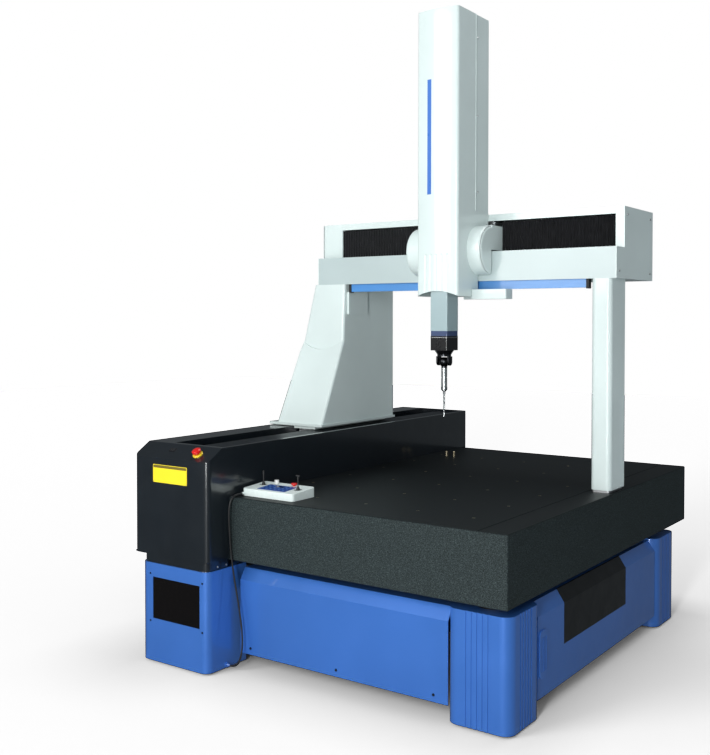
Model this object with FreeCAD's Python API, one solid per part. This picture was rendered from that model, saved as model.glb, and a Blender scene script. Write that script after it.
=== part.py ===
# Moving-bridge coordinate measuring machine, in millimetres.
# +X runs along the bridge to the right, +Y from the operator's side to the rear, +Z up.
# The origin is on the floor at the middle of the machine's footprint.
import FreeCAD, Part
import math
import os
from FreeCAD import Vector

os.makedirs("parts", exist_ok=True)

# ---------------------------------------------------------------- driving sizes
# footprint and granite table
clear_table_width = 1217     # table top between the guide housing and the right edge
table_depth = 1888
table_thickness = 253
table_height = 690           # floor to table top
housing_width = 407
housing_height = 197         # above the table top
housing_drop = 247           # below the table top, outside the granite
nose_overhang = 129          # housing in front of the table
rear_overhang = 50
bridge_overhang = 8          # beam past the table on the right, leg foot past the housing

# bridge
bridge_place = 947           # table front to the beam's front face, stored position
beam_clear_height = 872      # table top to the underside of the beam
beam_low_height = 128        # lower, deeper box of the beam
beam_window_height = 140     # opening behind the bellows
beam_top_height = 29
beam_low_depth = 433.5
beam_step = 91               # upper box stands this far behind the lower one
column_width, column_depth = 85, 158
leg_width_top, leg_width_bottom = 181, 267

# vertical axis
ram_width, ram_depth, ram_length = 82.4, 95, 1075
ram_drop = 149               # ram end below the cover
cover_width = 201
cover_front_depth = 169
cover_rear_depth = 129
cover_height = 1222
cover_bottom = 804           # above the table top

# walls and running gaps
sheet = 3.0                  # folded steel covers
casting = 8.0
gap = 0.3                    # between pieces that only stand beside each other
air_film = 0.05              # air bearings on their guides
rail_gap = 6.5               # covers that pass each other

# ---------------------------------------------------------------- derived places
half_width = (clear_table_width + housing_width + 2 * bridge_overhang) / 2
table_right = half_width - bridge_overhang
housing_right = table_right - clear_table_width
housing_left = housing_right - housing_width
side_cover_gap = 64
table_left = housing_left + side_cover_gap
machine_front = -(nose_overhang + table_depth + rear_overhang) / 2
table_front = machine_front + nose_overhang
table_rear = table_front + table_depth
housing_rear = table_rear + rear_overhang
table_bottom = table_height - table_thickness
housing_top = table_height + housing_height
housing_bottom = table_height - housing_drop


# ---------------------------------------------------------------- small shape tools
def block(x0, x1, y0, y1, z0, z1):
    return Part.makeBox(x1 - x0, y1 - y0, z1 - z0, Vector(x0, y0, z0))


def rod(base, direction, radius, length):
    return Part.makeCylinder(radius, length, Vector(*base), Vector(*direction))


def prism(corners, direction):
    wire = Part.makePolygon([Vector(*c) for c in corners] + [Vector(*corners[0])])
    return Part.Face(wire).extrude(Vector(*direction))


def along_x(yz, x0, x1):
    return prism([(x0, y, z) for y, z in yz], (x1 - x0, 0, 0))


def along_y(xz, y0, y1):
    return prism([(x, y0, z) for x, z in xz], (0, y1 - y0, 0))


def along_z(xy, z0, z1):
    return prism([(x, y, z0) for x, y in xy], (0, 0, z1 - z0))


def upright_edges(shape, places, tolerance=0.5):
    """Edges that run along Z at the given (x, y) places."""
    found = []
    for edge in shape.Edges:
        a, b = edge.Vertexes[0].Point, edge.Vertexes[-1].Point
        if abs(a.x - b.x) + abs(a.y - b.y) > tolerance or abs(a.z - b.z) < tolerance:
            continue
        if any(abs(a.x - x) + abs(a.y - y) < tolerance for x, y in places):
            found.append(edge)
    return found


def rounded_block(x0, x1, y0, y1, z0, z1, radius, places=None):
    body = block(x0, x1, y0, y1, z0, z1)
    corners = places or [(x0, y0), (x1, y0), (x0, y1), (x1, y1)]
    return body.makeFillet(radius, upright_edges(body, corners))


def join(*shapes):
    body = shapes[0]
    for shape in shapes[1:]:
        body = body.fuse(shape)
    return body.removeSplitter()


def group(shapes):
    return Part.makeCompound(list(shapes))


def save(node, shape):
    shape.exportStep("parts/" + node + ".step")


# ---------------------------------------------------------------- stand
post_width, post_depth = 244, 238
post_radius = 42
post_wall = 6
post_top = table_bottom - 30
post_clearance = 9           # floor to the post covers
post_inset_front = 23
post_inset_rear = 155
leg_tube = 90
ring_height = 100
ring_width = 80
mount_height = 42
mount_radius = 60
groove_width, groove_depth, groove_pitch = 8, 2.5, 21
panel_bottom = 60
panel_face_inset = 38        # front panel behind the table front
side_face_inset = 12
chamfer_drop, chamfer_run = 45, 30
plate_width, plate_height = 60, 170
ring_top = table_bottom - mount_height
ring_bottom = ring_top - ring_height

post_right = table_right
post_left = housing_left + 39
front_post_y = table_front + post_inset_front
rear_post_y = table_rear - post_inset_rear - post_depth
leg_right_x = post_right - post_width / 2
leg_left_x = post_left + 173
leg_front_y = front_post_y + post_depth / 2
leg_rear_y = rear_post_y + post_depth / 2
leg_places = [(leg_right_x, leg_front_y), (leg_right_x, leg_rear_y),
              (leg_left_x, leg_front_y), (leg_left_x, leg_rear_y)]
foot_height = 58


def stand_frame():
    pieces = []
    for x, y in leg_places:
        tube = block(x - leg_tube / 2, x + leg_tube / 2, y - leg_tube / 2, y + leg_tube / 2,
                     foot_height, ring_top)
        pieces.append(tube)
    for y in (leg_front_y, (leg_front_y + leg_rear_y) / 2, leg_rear_y):
        pieces.append(block(leg_left_x, leg_right_x, y - ring_width / 2, y + ring_width / 2,
                            ring_bottom, ring_top))
    for x in (leg_left_x, leg_right_x):
        pieces.append(block(x - ring_width / 2, x + ring_width / 2, leg_front_y, leg_rear_y,
                            ring_bottom, ring_top))
    frame = join(*pieces)
    for x, y in leg_places:
        inner = leg_tube / 2 - casting
        frame = frame.cut(block(x - inner, x + inner, y - inner, y + inner,
                                foot_height + casting, ring_bottom - casting))
    return frame


def leveling_feet():
    feet = []
    for x, y in leg_places:
        pad = Part.makeCone(45, 38, 12, Vector(x, y, 0))
        stem = rod((x, y, 12), (0, 0, 1), 12, foot_height - 12)
        nut = rod((x, y, foot_height - 16), (0, 0, 1), 20, 16)
        feet.append(join(pad, stem, nut))
    return group(feet)


def vibration_mounts():
    mounts = []
    for x, y in leg_places:
        base = rod((x, y, ring_top), (0, 0, 1), mount_radius, 8)
        bellows = rod((x, y, ring_top + 8), (0, 0, 1), mount_radius - 12, mount_height - 16)
        top = rod((x, y, ring_top + mount_height - 8), (0, 0, 1), mount_radius, 8)
        mounts.append(join(base, bellows, top))
    return group(mounts)


def corner_post(x0, y0, front_face, side_face):
    """A folded cover with rounded corners and pressed grooves on its outer faces."""
    x1, y1 = x0 + post_width, y0 + post_depth
    outer = rounded_block(x0, x1, y0, y1, post_clearance, post_top, post_radius)
    w = post_wall
    inner = rounded_block(x0 + w, x1 - w, y0 + w, y1 - w, post_clearance - 1, post_top - w,
                          post_radius - w)
    shell = outer.cut(inner)
    for i in range(5):
        shift = (i - 2) * groove_pitch
        gx = (x0 + x1) / 2 + shift
        gy = (y0 + y1) / 2 + shift
        y_face = y0 if front_face else y1
        x_face = x1 if side_face else x0
        shell = shell.cut(block(gx - groove_width / 2, gx + groove_width / 2,
                                y_face - groove_depth, y_face + groove_depth,
                                post_clearance - 1, post_top + 1))
        shell = shell.cut(block(x_face - groove_depth, x_face + groove_depth,
                                gy - groove_width / 2, gy + groove_width / 2,
                                post_clearance - 1, post_top + 1))
    clear_x, clear_y = ring_width / 2 + gap, ring_width / 2 + gap
    lx = leg_right_x if side_face else leg_left_x
    ly = leg_front_y if front_face else leg_rear_y
    toward_x = -1 if side_face else 1
    toward_y = 1 if front_face else -1
    shell = shell.cut(block(min(lx, lx + toward_x * post_width), max(lx, lx + toward_x * post_width),
                            ly - clear_y, ly + clear_y, ring_bottom, ring_top))
    shell = shell.cut(block(lx - clear_x, lx + clear_x, min(ly, ly + toward_y * post_depth),
                            max(ly, ly + toward_y * post_depth), ring_bottom, ring_top))
    return shell.cut(rod((lx, ly, post_top - 2 * post_wall), (0, 0, 1), mount_radius + gap,
                         3 * post_wall))


def corner_posts():
    return group([
        corner_post(post_right - post_width, front_post_y, True, True),
        corner_post(post_right - post_width, rear_post_y, False, True),
        corner_post(post_left, rear_post_y, False, False)])


panel_y = table_front + panel_face_inset
panel_x = table_right - side_face_inset
panel_left = housing_right + 22
cabinet_right = housing_right - 4
cabinet_left = housing_left + 39
cabinet_front = machine_front + 1
cabinet_rear = leg_front_y - ring_width / 2
cabinet_top = post_top
cabinet_radius = 34
flange_lap = 50


def cover_profile(face, seat):
    """Sheet with a chamfered top edge and a flange that hooks over the ring beam."""
    into = 1 if seat > face else -1
    t = sheet * into
    top = ring_top + sheet
    return [(face, panel_bottom), (face, top - chamfer_drop), (face + chamfer_run * into, top),
            (seat, top), (seat, top - sheet), (face + chamfer_run * into + t * 0.6, top - sheet),
            (face + t, top - chamfer_drop - sheet * 0.6), (face + t, panel_bottom)]


def front_panel():
    seat = leg_front_y - ring_width / 2 + flange_lap
    return along_x(cover_profile(panel_y, seat), panel_left, post_right - post_width - gap)


vent_y0, vent_y1 = table_front + 490, table_front + 1131
vent_bottom = table_height - 490


def right_panel():
    seat = leg_right_x + ring_width / 2 - flange_lap
    profile = cover_profile(panel_x, seat)
    panel = along_y(profile, front_post_y + post_depth + gap, rear_post_y - gap)
    window = block(panel_x - chamfer_run - 2 * sheet, panel_x + 1, vent_y0, vent_y1,
                   vent_bottom, ring_top + sheet + 1)
    panel = panel.cut(window)
    y0 = front_post_y + post_depth + 8
    z0 = panel_bottom + 70
    plate = block(panel_x, panel_x + 6, y0, y0 + plate_width, z0, z0 + plate_height)
    plate = plate.makeFillet(18, [e for e in plate.Edges if e.BoundBox.XLength > 5])
    for i in range(4):
        y = y0 + 12 + i * 12
        plate = plate.cut(block(panel_x + 3, panel_x + 7, y, y + 5, z0 + 24, z0 + plate_height - 24))
    return join(panel, plate)


def vent_panel():
    seat = leg_right_x + ring_width / 2 - flange_lap
    panel = along_y(cover_profile(panel_x, seat), vent_y0 + gap, vent_y1 - gap)
    low = block(panel_x - 4 * sheet, panel_x + 1, vent_y0 - 1, vent_y1 + 1, 0, vent_bottom)
    shelf = block(seat - 1, panel_x - chamfer_run - 2 * sheet + gap, vent_y0 - 1, vent_y1 + 1,
                  ring_top - 1, ring_top + sheet + 1)
    panel = panel.cut(low).cut(shelf)
    return panel


def left_panel():
    x = post_left + 8
    profile = [(x, panel_bottom), (x, ring_top + sheet), (leg_left_x, ring_top + sheet),
               (leg_left_x, ring_top), (x + sheet, ring_top), (x + sheet, panel_bottom)]
    panel = along_y(profile, cabinet_rear + gap, rear_post_y - gap)
    return panel.cut(rod((leg_left_x, leg_front_y, ring_top - 1), (0, 0, 1), mount_radius + gap, 9))


def rear_panel():
    y = table_rear - post_inset_rear - 12
    profile = [(y, panel_bottom), (y, ring_top + sheet), (leg_rear_y, ring_top + sheet),
               (leg_rear_y, ring_top), (y - sheet, ring_top), (y - sheet, panel_bottom)]
    return along_x(profile, post_left + post_width + gap, post_right - post_width - gap)


window_sill = 173            # cabinet's floor edge to the window
window_head = 56             # window to the cabinet's top edge
window_x0, window_x1 = cabinet_left + 65, cabinet_right - 40
window_z0, window_z1 = post_clearance + window_sill, cabinet_top - window_head


def cabinet_shell():
    t = sheet
    front_corners = [(cabinet_left, cabinet_front), (cabinet_right, cabinet_front)]
    outer = rounded_block(cabinet_left, cabinet_right, cabinet_front, cabinet_rear, post_clearance,
                          cabinet_top, cabinet_radius, front_corners)
    inner_corners = [(cabinet_left + t, cabinet_front + t), (cabinet_right - t, cabinet_front + t)]
    inner = rounded_block(cabinet_left + t, cabinet_right - t, cabinet_front + t, cabinet_rear + 1,
                          post_clearance + t, cabinet_top - t, cabinet_radius - t, inner_corners)
    shell = outer.cut(inner)
    shell = shell.cut(block(window_x0, window_x1, cabinet_front - 1, cabinet_front + t + 1,
                            window_z0, window_z1))
    shell = shell.cut(rod((leg_left_x, leg_front_y, cabinet_top - 2 * sheet), (0, 0, 1),
                          mount_radius + gap, 4 * sheet))
    return join(shell, cable_gland())


def cabinet_window():
    lap = 5
    pane = block(window_x0 - lap, window_x1 + lap, cabinet_front + sheet, cabinet_front + 2 * sheet,
                 window_z0 - lap, window_z1 + lap)
    lens = block(window_x0 + gap, window_x1 - gap, cabinet_front + 1, cabinet_front + sheet,
                 window_z0 + gap, window_z1 - gap)
    return join(pane, lens)


def controller_unit():
    x0, x1 = cabinet_left + 60, cabinet_right - 70
    y0, y1 = cabinet_front + 50, cabinet_rear - 35
    z0 = post_clearance + sheet
    body = block(x0, x1, y0, y1, z0, z0 + 290)
    for i in range(6):
        y = y0 + 12 + i * 18
        body = body.cut(block(x0 - 1, x0 + 12, y, y + 7, z0 + 20, z0 + 270))
        body = body.cut(block(x1 - 12, x1 + 1, y, y + 7, z0 + 80, z0 + 270))
    return body


# ---------------------------------------------------------------- granite table
edge_bevel = 3
lane_inset = 112             # groove that marks the right column's lane
insert_pitch_x, insert_pitch_y = 232, 277
insert_columns, insert_rows = 5, 6
insert_right_inset, insert_front_inset = 226, 188
insert_radius = 7
insert_depth = 24
thread_radius = 3.4
post_dowel_radius, post_dowel_height = 7, 26


def insert_places():
    places = []
    for i in range(insert_columns):
        for j in range(insert_rows):
            places.append((table_right - insert_right_inset - i * insert_pitch_x,
                           table_front + insert_front_inset + j * insert_pitch_y))
    return places


dowel_places = [(housing_right + 112, table_front + 1536), (housing_right + 150, table_front + 1546)]


def granite_table():
    slab = block(table_left, table_right, table_front, table_rear, table_bottom, table_height)
    slab = slab.makeChamfer(edge_bevel, slab.Edges)
    lane_x = table_right - lane_inset
    slab = slab.cut(block(lane_x - 2, lane_x + 2, table_front - 1, table_rear + 1,
                          table_height - 2, table_height + 1))
    holes = [rod((x, y, table_height - insert_depth), (0, 0, 1), insert_radius, insert_depth + 1)
             for x, y in insert_places()]
    holes += [rod((x, y, table_height - 20), (0, 0, 1), post_dowel_radius, 21)
              for x, y in dowel_places]
    return slab.cut(group(holes))


def table_inserts():
    rings = []
    for x, y in insert_places():
        ring = rod((x, y, table_height - insert_depth), (0, 0, 1), insert_radius, insert_depth - 0.5)
        rings.append(ring.cut(rod((x, y, table_height - insert_depth + 2), (0, 0, 1), thread_radius,
                                  insert_depth)))
    return group(rings)


def locating_posts():
    posts = []
    for x, y in dowel_places:
        stem = rod((x, y, table_height - 20), (0, 0, 1), post_dowel_radius, 20 + post_dowel_height)
        posts.append(stem.makeChamfer(1.5, [stem.Edges[0]]))
    return group(posts)


# ---------------------------------------------------------------- Y guide and its housing
rail_width, rail_height = 190, 90
rail_left = table_left + 60
rail_y0, rail_y1 = table_front + 80, table_rear - 24
rail_top = table_height + rail_height
wall = 4
strip_z = housing_top - 13
strip_left = housing_right - 185
left_flange = 124
nose_depth = 111
slope_depth, slope_drop = 84, 51
slope_angle = math.degrees(math.atan2(slope_drop, slope_depth))
nose_rear = machine_front + nose_depth
skirt_inset = 6
nose_radius = 24


def y_guide_rail():
    rail = block(rail_left, rail_left + rail_width, rail_y0, rail_y1, table_height, rail_top)
    tops = [e for e in rail.Edges if abs(e.BoundBox.ZMin - rail_top) < 0.1]
    return rail.makeChamfer(edge_bevel, tops)


def nose_body(inset, rear, low):
    """Rounded nose of the housing, cut by the slanted control face."""
    x0, x1, y0 = housing_left + inset, housing_right - inset, machine_front + inset
    body = rounded_block(x0, x1, y0, rear, low, housing_top - inset, nose_radius - inset,
                         [(x0, y0), (x1, y0)])
    shift = inset / math.cos(math.radians(slope_angle))
    top = housing_top - shift
    y_top = machine_front + slope_depth
    y_low = machine_front - 60
    z_low = top - (y_top - y_low) * slope_drop / slope_depth
    wedge = along_x([(y_low, z_low), (y_top, top), (y_top, top + 200), (y_low, top + 200)],
                    x0 - 1, x1 + 1)
    return body.cut(wedge)


estop_place = (housing_right - 87, machine_front + 39)
switch_place = (housing_right - 235, machine_front + 49)


def on_slope(shape, place):
    """Puts a shape made at the origin, facing up, on the slanted control face."""
    x, y = place
    z = housing_top - (machine_front + slope_depth - y) * slope_drop / slope_depth
    moved = shape.copy()
    moved.rotate(Vector(0, 0, 0), Vector(1, 0, 0), slope_angle)
    moved.translate(Vector(x, y, z))
    return moved


collar_radius, collar_height = 21, 5
estop_stem_radius = 9
estop_travel = 3
switch_width, switch_length = 30, 20
rocker_pivot_depth = 2       # pivot below the slanted face


def housing_nose():
    shell = nose_body(0, nose_rear, housing_bottom).cut(nose_body(wall, nose_rear + 1, housing_bottom - 1))
    skirt_x0, skirt_x1 = cabinet_left + skirt_inset, cabinet_right - skirt_inset
    skirt_y = cabinet_front + skirt_inset
    corners = [(skirt_x0, skirt_y), (skirt_x1, skirt_y)]
    skirt = rounded_block(skirt_x0, skirt_x1, skirt_y, table_front, cabinet_top, housing_bottom,
                          cabinet_radius - skirt_inset, corners)
    inner = [(skirt_x0 + wall, skirt_y + wall), (skirt_x1 - wall, skirt_y + wall)]
    skirt = skirt.cut(rounded_block(skirt_x0 + wall, skirt_x1 - wall, skirt_y + wall,
                                    table_front + 1, cabinet_top - 1, housing_bottom + 1,
                                    cabinet_radius - skirt_inset - wall, inner))
    floor = block(housing_left + wall, housing_right - wall, machine_front + wall, nose_rear,
                  housing_bottom, housing_bottom + wall)
    return_wall = block(housing_right - wall, housing_right, nose_rear, table_front,
                        housing_bottom, table_height)
    return_floor = block(table_left + wall, housing_right - wall, nose_rear, table_front,
                         housing_bottom, housing_bottom + wall)
    shell = join(shell, skirt, floor, return_wall, return_floor)
    stem_hole = on_slope(rod((0, 0, -20), (0, 0, 1), estop_stem_radius + 0.1, 40), estop_place)
    rocker = on_slope(block(-switch_width / 2, switch_width / 2, -switch_length / 2,
                            switch_length / 2, -20, 10), switch_place)
    return shell.cut(stem_hole).cut(rocker)


def housing_right_cover():
    x = housing_right
    profile = [(x, table_height), (x, housing_top), (x - 15, housing_top), (x - 15, strip_z),
               (x - 40, strip_z), (x - 40, strip_z - wall), (x - 15 + wall, strip_z - wall),
               (x - 15 + wall, housing_top - wall), (x - wall, housing_top - wall),
               (x - wall, table_height + wall), (x - 29, table_height + wall), (x - 29, table_height)]
    return along_y(profile, nose_rear, housing_rear - wall)


def slot_strip():
    strip = block(strip_left, housing_right - 15 - gap, nose_rear, housing_rear - wall,
                  strip_z, strip_z + 2)
    lip = block(strip_left, strip_left + 2, nose_rear, housing_rear - wall, strip_z - 10, strip_z)
    return join(strip, lip)


def housing_left_cover():
    x = housing_left
    flange = x + left_flange
    profile = [(x, housing_bottom), (x, housing_top), (flange, housing_top),
               (flange, housing_top - 27), (flange - wall, housing_top - 27),
               (flange - wall, housing_top - wall), (x + wall, housing_top - wall),
               (x + wall, housing_bottom + wall), (table_left, housing_bottom + wall),
               (table_left, housing_bottom)]
    return along_y(profile, nose_rear, housing_rear - wall)


def housing_rear_cover():
    y0 = housing_rear - wall
    plate = block(housing_left, housing_right, y0, housing_rear, housing_bottom, housing_top)
    foot = block(table_left + 40, housing_right - 40, table_rear - 12, y0, table_height,
                 table_height + wall)
    return join(plate, foot)


pulley_radius, belt_width, belt_thick = 20, 9, 2
belt_x = housing_right - 26
belt_z = table_height + 50
pulley_front_y = rail_y0 - 40
pulley_rear_y = rail_y1 - 10


def y_drive_motor():
    x1 = belt_x - belt_width / 2 - 4
    axis_z = belt_z
    body = rod((x1 - 118, pulley_front_y, axis_z), (1, 0, 0), 34, 112)
    plate = block(x1 - 6, x1, pulley_front_y - 40, pulley_front_y + 40, table_height, axis_z + 42)
    foot = block(x1 - 70, x1, pulley_front_y - 10, pulley_front_y + 20, table_height, table_height + 8)
    shaft = rod((x1, pulley_front_y, axis_z), (1, 0, 0), 6, belt_width + 10)
    return join(body, plate, foot, shaft)


def y_belt_pulleys():
    pulleys = []
    x0 = belt_x - belt_width / 2 - 2
    for y in (pulley_front_y, pulley_rear_y):
        wheel = rod((x0, y, belt_z), (1, 0, 0), pulley_radius - air_film, belt_width + 4)
        pulleys.append(wheel.cut(rod((x0 - 1, y, belt_z), (1, 0, 0), 6, belt_width + 8)))
    return group(pulleys)


def y_idler_bracket():
    x0 = belt_x + belt_width / 2 + 4
    plate = block(x0, x0 + 8, pulley_rear_y - 20, pulley_rear_y + 20, table_height + wall,
                  belt_z + 22)
    axle = rod((x0, pulley_rear_y, belt_z), (-1, 0, 0), 6, belt_width + 8)
    return join(plate, axle)


def y_drive_belt():
    x0, x1 = belt_x - belt_width / 2, belt_x + belt_width / 2
    low, high = pulley_radius, pulley_radius + belt_thick

    def oval(radius):
        ends = [rod((x0, y, belt_z), (1, 0, 0), radius, x1 - x0)
                for y in (pulley_front_y, pulley_rear_y)]
        run = block(x0, x1, pulley_front_y, pulley_rear_y, belt_z - radius, belt_z + radius)
        return join(ends[0], run, ends[1])

    return oval(high).cut(oval(low))


def estop_collar():
    disc = rod((0, 0, 0), (0, 0, 1), collar_radius, collar_height)
    disc = disc.makeChamfer(1.5, [e for e in disc.Edges if e.BoundBox.ZMin > collar_height - 0.1])
    return on_slope(disc.cut(rod((0, 0, -1), (0, 0, 1), estop_stem_radius + 0.1, collar_height + 2)),
                    estop_place)


def estop_button():
    stem = rod((0, 0, -14), (0, 0, 1), estop_stem_radius, 26)
    skirt = Part.makeCone(14, 18.5, 5, Vector(0, 0, collar_height + estop_travel))
    dome = Part.makeSphere(32, Vector(0, 0, -5)).common(rod((0, 0, 13), (0, 0, 1), 18.5, 20))
    return on_slope(join(stem, skirt, dome), estop_place)


def power_switch():
    half = switch_width / 2 - 0.6
    width = switch_length / 2 - 0.6
    rocker = along_y([(-half, -6), (-half, 4), (0, 1.8), (half, 4), (half, -6)], -width, width)
    swing = rod((0, -width, -rocker_pivot_depth), (0, 1, 0), switch_width / 2 - 0.4, 2 * width)
    return on_slope(rocker.common(swing), switch_place)


# ---------------------------------------------------------------- bridge: left leg
beam_front = table_front + bridge_place
beam_step_y = beam_front + beam_step
beam_rear = beam_front + beam_low_depth
beam_bottom = table_height + beam_clear_height
beam_ledge = beam_bottom + beam_low_height
beam_window_top = beam_ledge + beam_window_height
beam_top = beam_window_top + beam_top_height
beam_right = half_width
beam_left = -half_width + 143
beam_left_upper = -half_width + 89

leg_right = -half_width + 303
leg_rear = beam_rear - 10
leg_foot_front = beam_front - 187
foot_top = housing_top + 16
foot_bottom = strip_z + 5
saddle_top = table_height + 150
saddle_bottom = saddle_top - 34
saddle_left = table_left + 3
saddle_right = rail_left + rail_width + 57
stem_left, stem_right = housing_left + left_flange + 10, strip_left - 10
guide_front, guide_rear = beam_front + 145.5, beam_front + 302.5
guide_bottom, guide_top = beam_bottom + 38, beam_bottom + 238
pad_radius = 34
skirt_width = 25


def y_saddle():
    y0, y1 = leg_foot_front + 8, leg_rear
    plate = block(saddle_left, saddle_right, y0, y1, saddle_bottom, saddle_top)
    left = block(saddle_left, saddle_left + skirt_width, y0, y1, table_height + 12, saddle_bottom)
    right = block(saddle_right - skirt_width, saddle_right, y0, y1, table_height + 12, saddle_bottom)
    stem = block(stem_left, stem_right, y0 + 30, y1 - 30, saddle_top, foot_bottom)
    clamp = block(saddle_right, belt_x + belt_width / 2, (y0 + y1) / 2 - 30, (y0 + y1) / 2 + 30,
                  belt_z + pulley_radius + belt_thick, belt_z + pulley_radius + belt_thick + 14)
    body = join(plate, left, right, stem, clamp)
    middle = y0 + 300
    return body.cut(block(saddle_left + 70, saddle_right - 110, middle - 55, middle + 55,
                          saddle_bottom + 14, saddle_top + 1))


def air_pad(center, direction, thickness):
    c, d = Vector(*center), Vector(*direction)
    disc = Part.makeCylinder(pad_radius, thickness * 0.62, c, d)
    neck = Part.makeCylinder(pad_radius * 0.4, thickness * 0.38, c + d * (thickness * 0.62), d)
    return join(disc, neck)


def y_air_bearings():
    y_places = (leg_foot_front + 80, leg_rear - 80)
    rail_right = rail_left + rail_width
    mid = table_height + rail_height * 0.45
    pads = []
    for y in y_places:
        for x in (rail_left + 45, rail_right - 45):
            pads.append(air_pad((x, y, rail_top + air_film), (0, 0, 1),
                                saddle_bottom - rail_top - air_film))
        left_room = rail_left - air_film - (saddle_left + skirt_width)
        right_room = (saddle_right - skirt_width) - rail_right - air_film
        pads.append(air_pad((rail_left - air_film, y, mid), (-1, 0, 0), left_room))
        pads.append(air_pad((rail_right + air_film, y, mid), (1, 0, 0), right_room))
    return group(pads)


def leg_foot():
    left = -half_width
    top = block(left, leg_right + 8, leg_foot_front - 11, leg_rear + 8, foot_top - 10, foot_top)
    middle = block(left + 14, leg_right - 3, leg_foot_front - 5, leg_rear + 2,
                   housing_top + 3, foot_top - 10)
    low = block(housing_left + left_flange + 4, leg_right - 42, leg_foot_front + 4, leg_rear - 6,
                foot_bottom, housing_top + 3)
    return join(top, middle, low)


shoulder_z = beam_bottom - 270
shoulder_y = beam_front - 14
leg_edge_radius, scoop_drop = 13, 43


def leg_solid(inset):
    """Leg outline: the side view and the front view cut each other."""
    z0 = foot_top - (1 if inset else 0)
    z1 = beam_bottom + (1 if inset else 0)
    x_top = leg_right - leg_width_top + inset
    x_shoulder = leg_right - leg_width_bottom + 17 + inset
    x_foot = leg_right - leg_width_bottom + inset
    z_bend = beam_bottom - 326
    front_view = along_y([(x_foot, z0), (x_shoulder, z_bend), (x_top, z1), (leg_right - inset, z1),
                          (leg_right - inset, z0)], leg_foot_front - 50, leg_rear + 50)
    side_view = along_x([(leg_foot_front + inset, z0), (shoulder_y + inset, shoulder_z),
                         (beam_front + inset, z1), (leg_rear - inset, z1), (leg_rear - inset, z0)],
                        x_foot - 50, leg_right + 50)
    body = front_view.common(side_view)
    if not inset:
        front_edges = [e for e in body.Edges
                       if e.BoundBox.ZLength > 40 and e.BoundBox.YMax < shoulder_y + 30]
        body = body.makeFillet(leg_edge_radius, front_edges)
    return body.cut(leg_scoop(inset))


def leg_scoop(inset):
    """The upper face runs down into the slanted one in a round dip."""
    half = (leg_width_bottom - 30) / 2
    radius = (half * half + scoop_drop * scoop_drop) / (2 * scoop_drop)
    middle = leg_right - half - 8
    disc = rod((middle, leg_foot_front - 100, shoulder_z - scoop_drop + radius), (0, 1, 0),
               radius + inset, 400)
    lean = (beam_front - shoulder_y) / (beam_bottom - shoulder_z)
    low, high = shoulder_z - 2 * scoop_drop, shoulder_z
    front = along_x([(leg_foot_front - 100, low), (shoulder_y + inset - (high - low) * lean, low),
                     (shoulder_y + inset, high), (leg_foot_front - 100, high)],
                    middle - 2 * half, middle + 2 * half)
    return disc.common(front)


def leg_cover():
    return leg_solid(0).cut(leg_solid(wall + 2))


def leg_side_cover():
    y0, y1 = beam_front + 16, beam_front + 176
    z0, z1 = beam_bottom - 146, beam_bottom - 34
    plate = block(leg_right, leg_right + 12, y0, y1, z0, z1)
    corners = [e for e in plate.Edges if e.BoundBox.XLength > 3]
    return plate.makeFillet(8, corners)


def leg_column():
    x0, x1 = leg_right - leg_width_top + 28, leg_right - 14
    front = along_x([(leg_foot_front + 45, foot_top), (shoulder_y + 40, shoulder_z),
                     (beam_front + 108, beam_bottom), (beam_front + 108, guide_bottom),
                     (guide_rear, guide_bottom), (leg_rear - 25, beam_bottom - 60),
                     (leg_rear - 25, foot_top)], x0, x1)
    pocket = along_x([(leg_foot_front + 90, foot_top + 20), (shoulder_y + 70, shoulder_z),
                      (beam_front + 136, beam_bottom - 20), (leg_rear - 60, beam_bottom - 80),
                      (leg_rear - 60, foot_top + 20)], x0 + casting, x1 - casting)
    return front.cut(pocket)


# ---------------------------------------------------------------- bridge: right column and beam
column_right = table_right - 13
column_left = column_right - column_width
column_rear = beam_front + column_depth
column_foot = 10


def right_column():
    z0 = table_height + column_foot
    body = rounded_block(column_left, column_right, beam_front, column_rear, z0, beam_bottom, 20,
                         [(column_left, beam_front), (column_right, beam_front)])
    bore = block(column_left + casting, column_right - casting, beam_front + 22,
                 column_rear - casting, z0 + 20, beam_bottom - 30)
    head = block(column_left, column_right, beam_front + 110, guide_rear, beam_bottom, guide_bottom)
    return join(body.cut(bore), head)


def column_air_bearing():
    pad = rounded_block(column_left + 4, column_right - 4, beam_front + 6, column_rear - 6,
                        table_height + air_film, table_height + column_foot, 10)
    return pad


def x_beam():
    body = block(beam_left + 8, beam_right - 20, guide_front, guide_rear, guide_bottom, guide_top)
    bore = block(beam_left + 7, beam_right - 19, guide_front + 22, guide_rear - 22,
                 guide_bottom + 22, guide_top - 22)
    return body.cut(bore)


def beam_lower_cover():
    t = sheet
    x0, x1 = beam_left + t, beam_right - t
    profile = [(beam_front, beam_bottom), (beam_front, beam_ledge), (beam_step_y, beam_ledge),
               (beam_step_y, beam_ledge - t), (beam_front + t, beam_ledge - t),
               (beam_front + t, beam_bottom + t), (beam_rear - t, beam_bottom + t),
               (beam_rear - t, beam_bottom)]
    cover = along_x(profile, x0, x1)
    leg_notch = block(x0 - 1, leg_right - 8, beam_front + 60, beam_rear, beam_bottom - 1,
                      beam_bottom + t + 1)
    column_notch = block(column_left - gap, column_right + gap, beam_front + 110 - gap,
                         guide_rear + gap, beam_bottom - 1, beam_bottom + t + 1)
    return cover.cut(leg_notch).cut(column_notch)


def beam_blue_strip():
    return block(leg_right + 27, column_left - 27, beam_front + 16, beam_front + 34,
                 beam_bottom - 36, beam_bottom)


left_cap_width = 134
right_cap_width = 38


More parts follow.
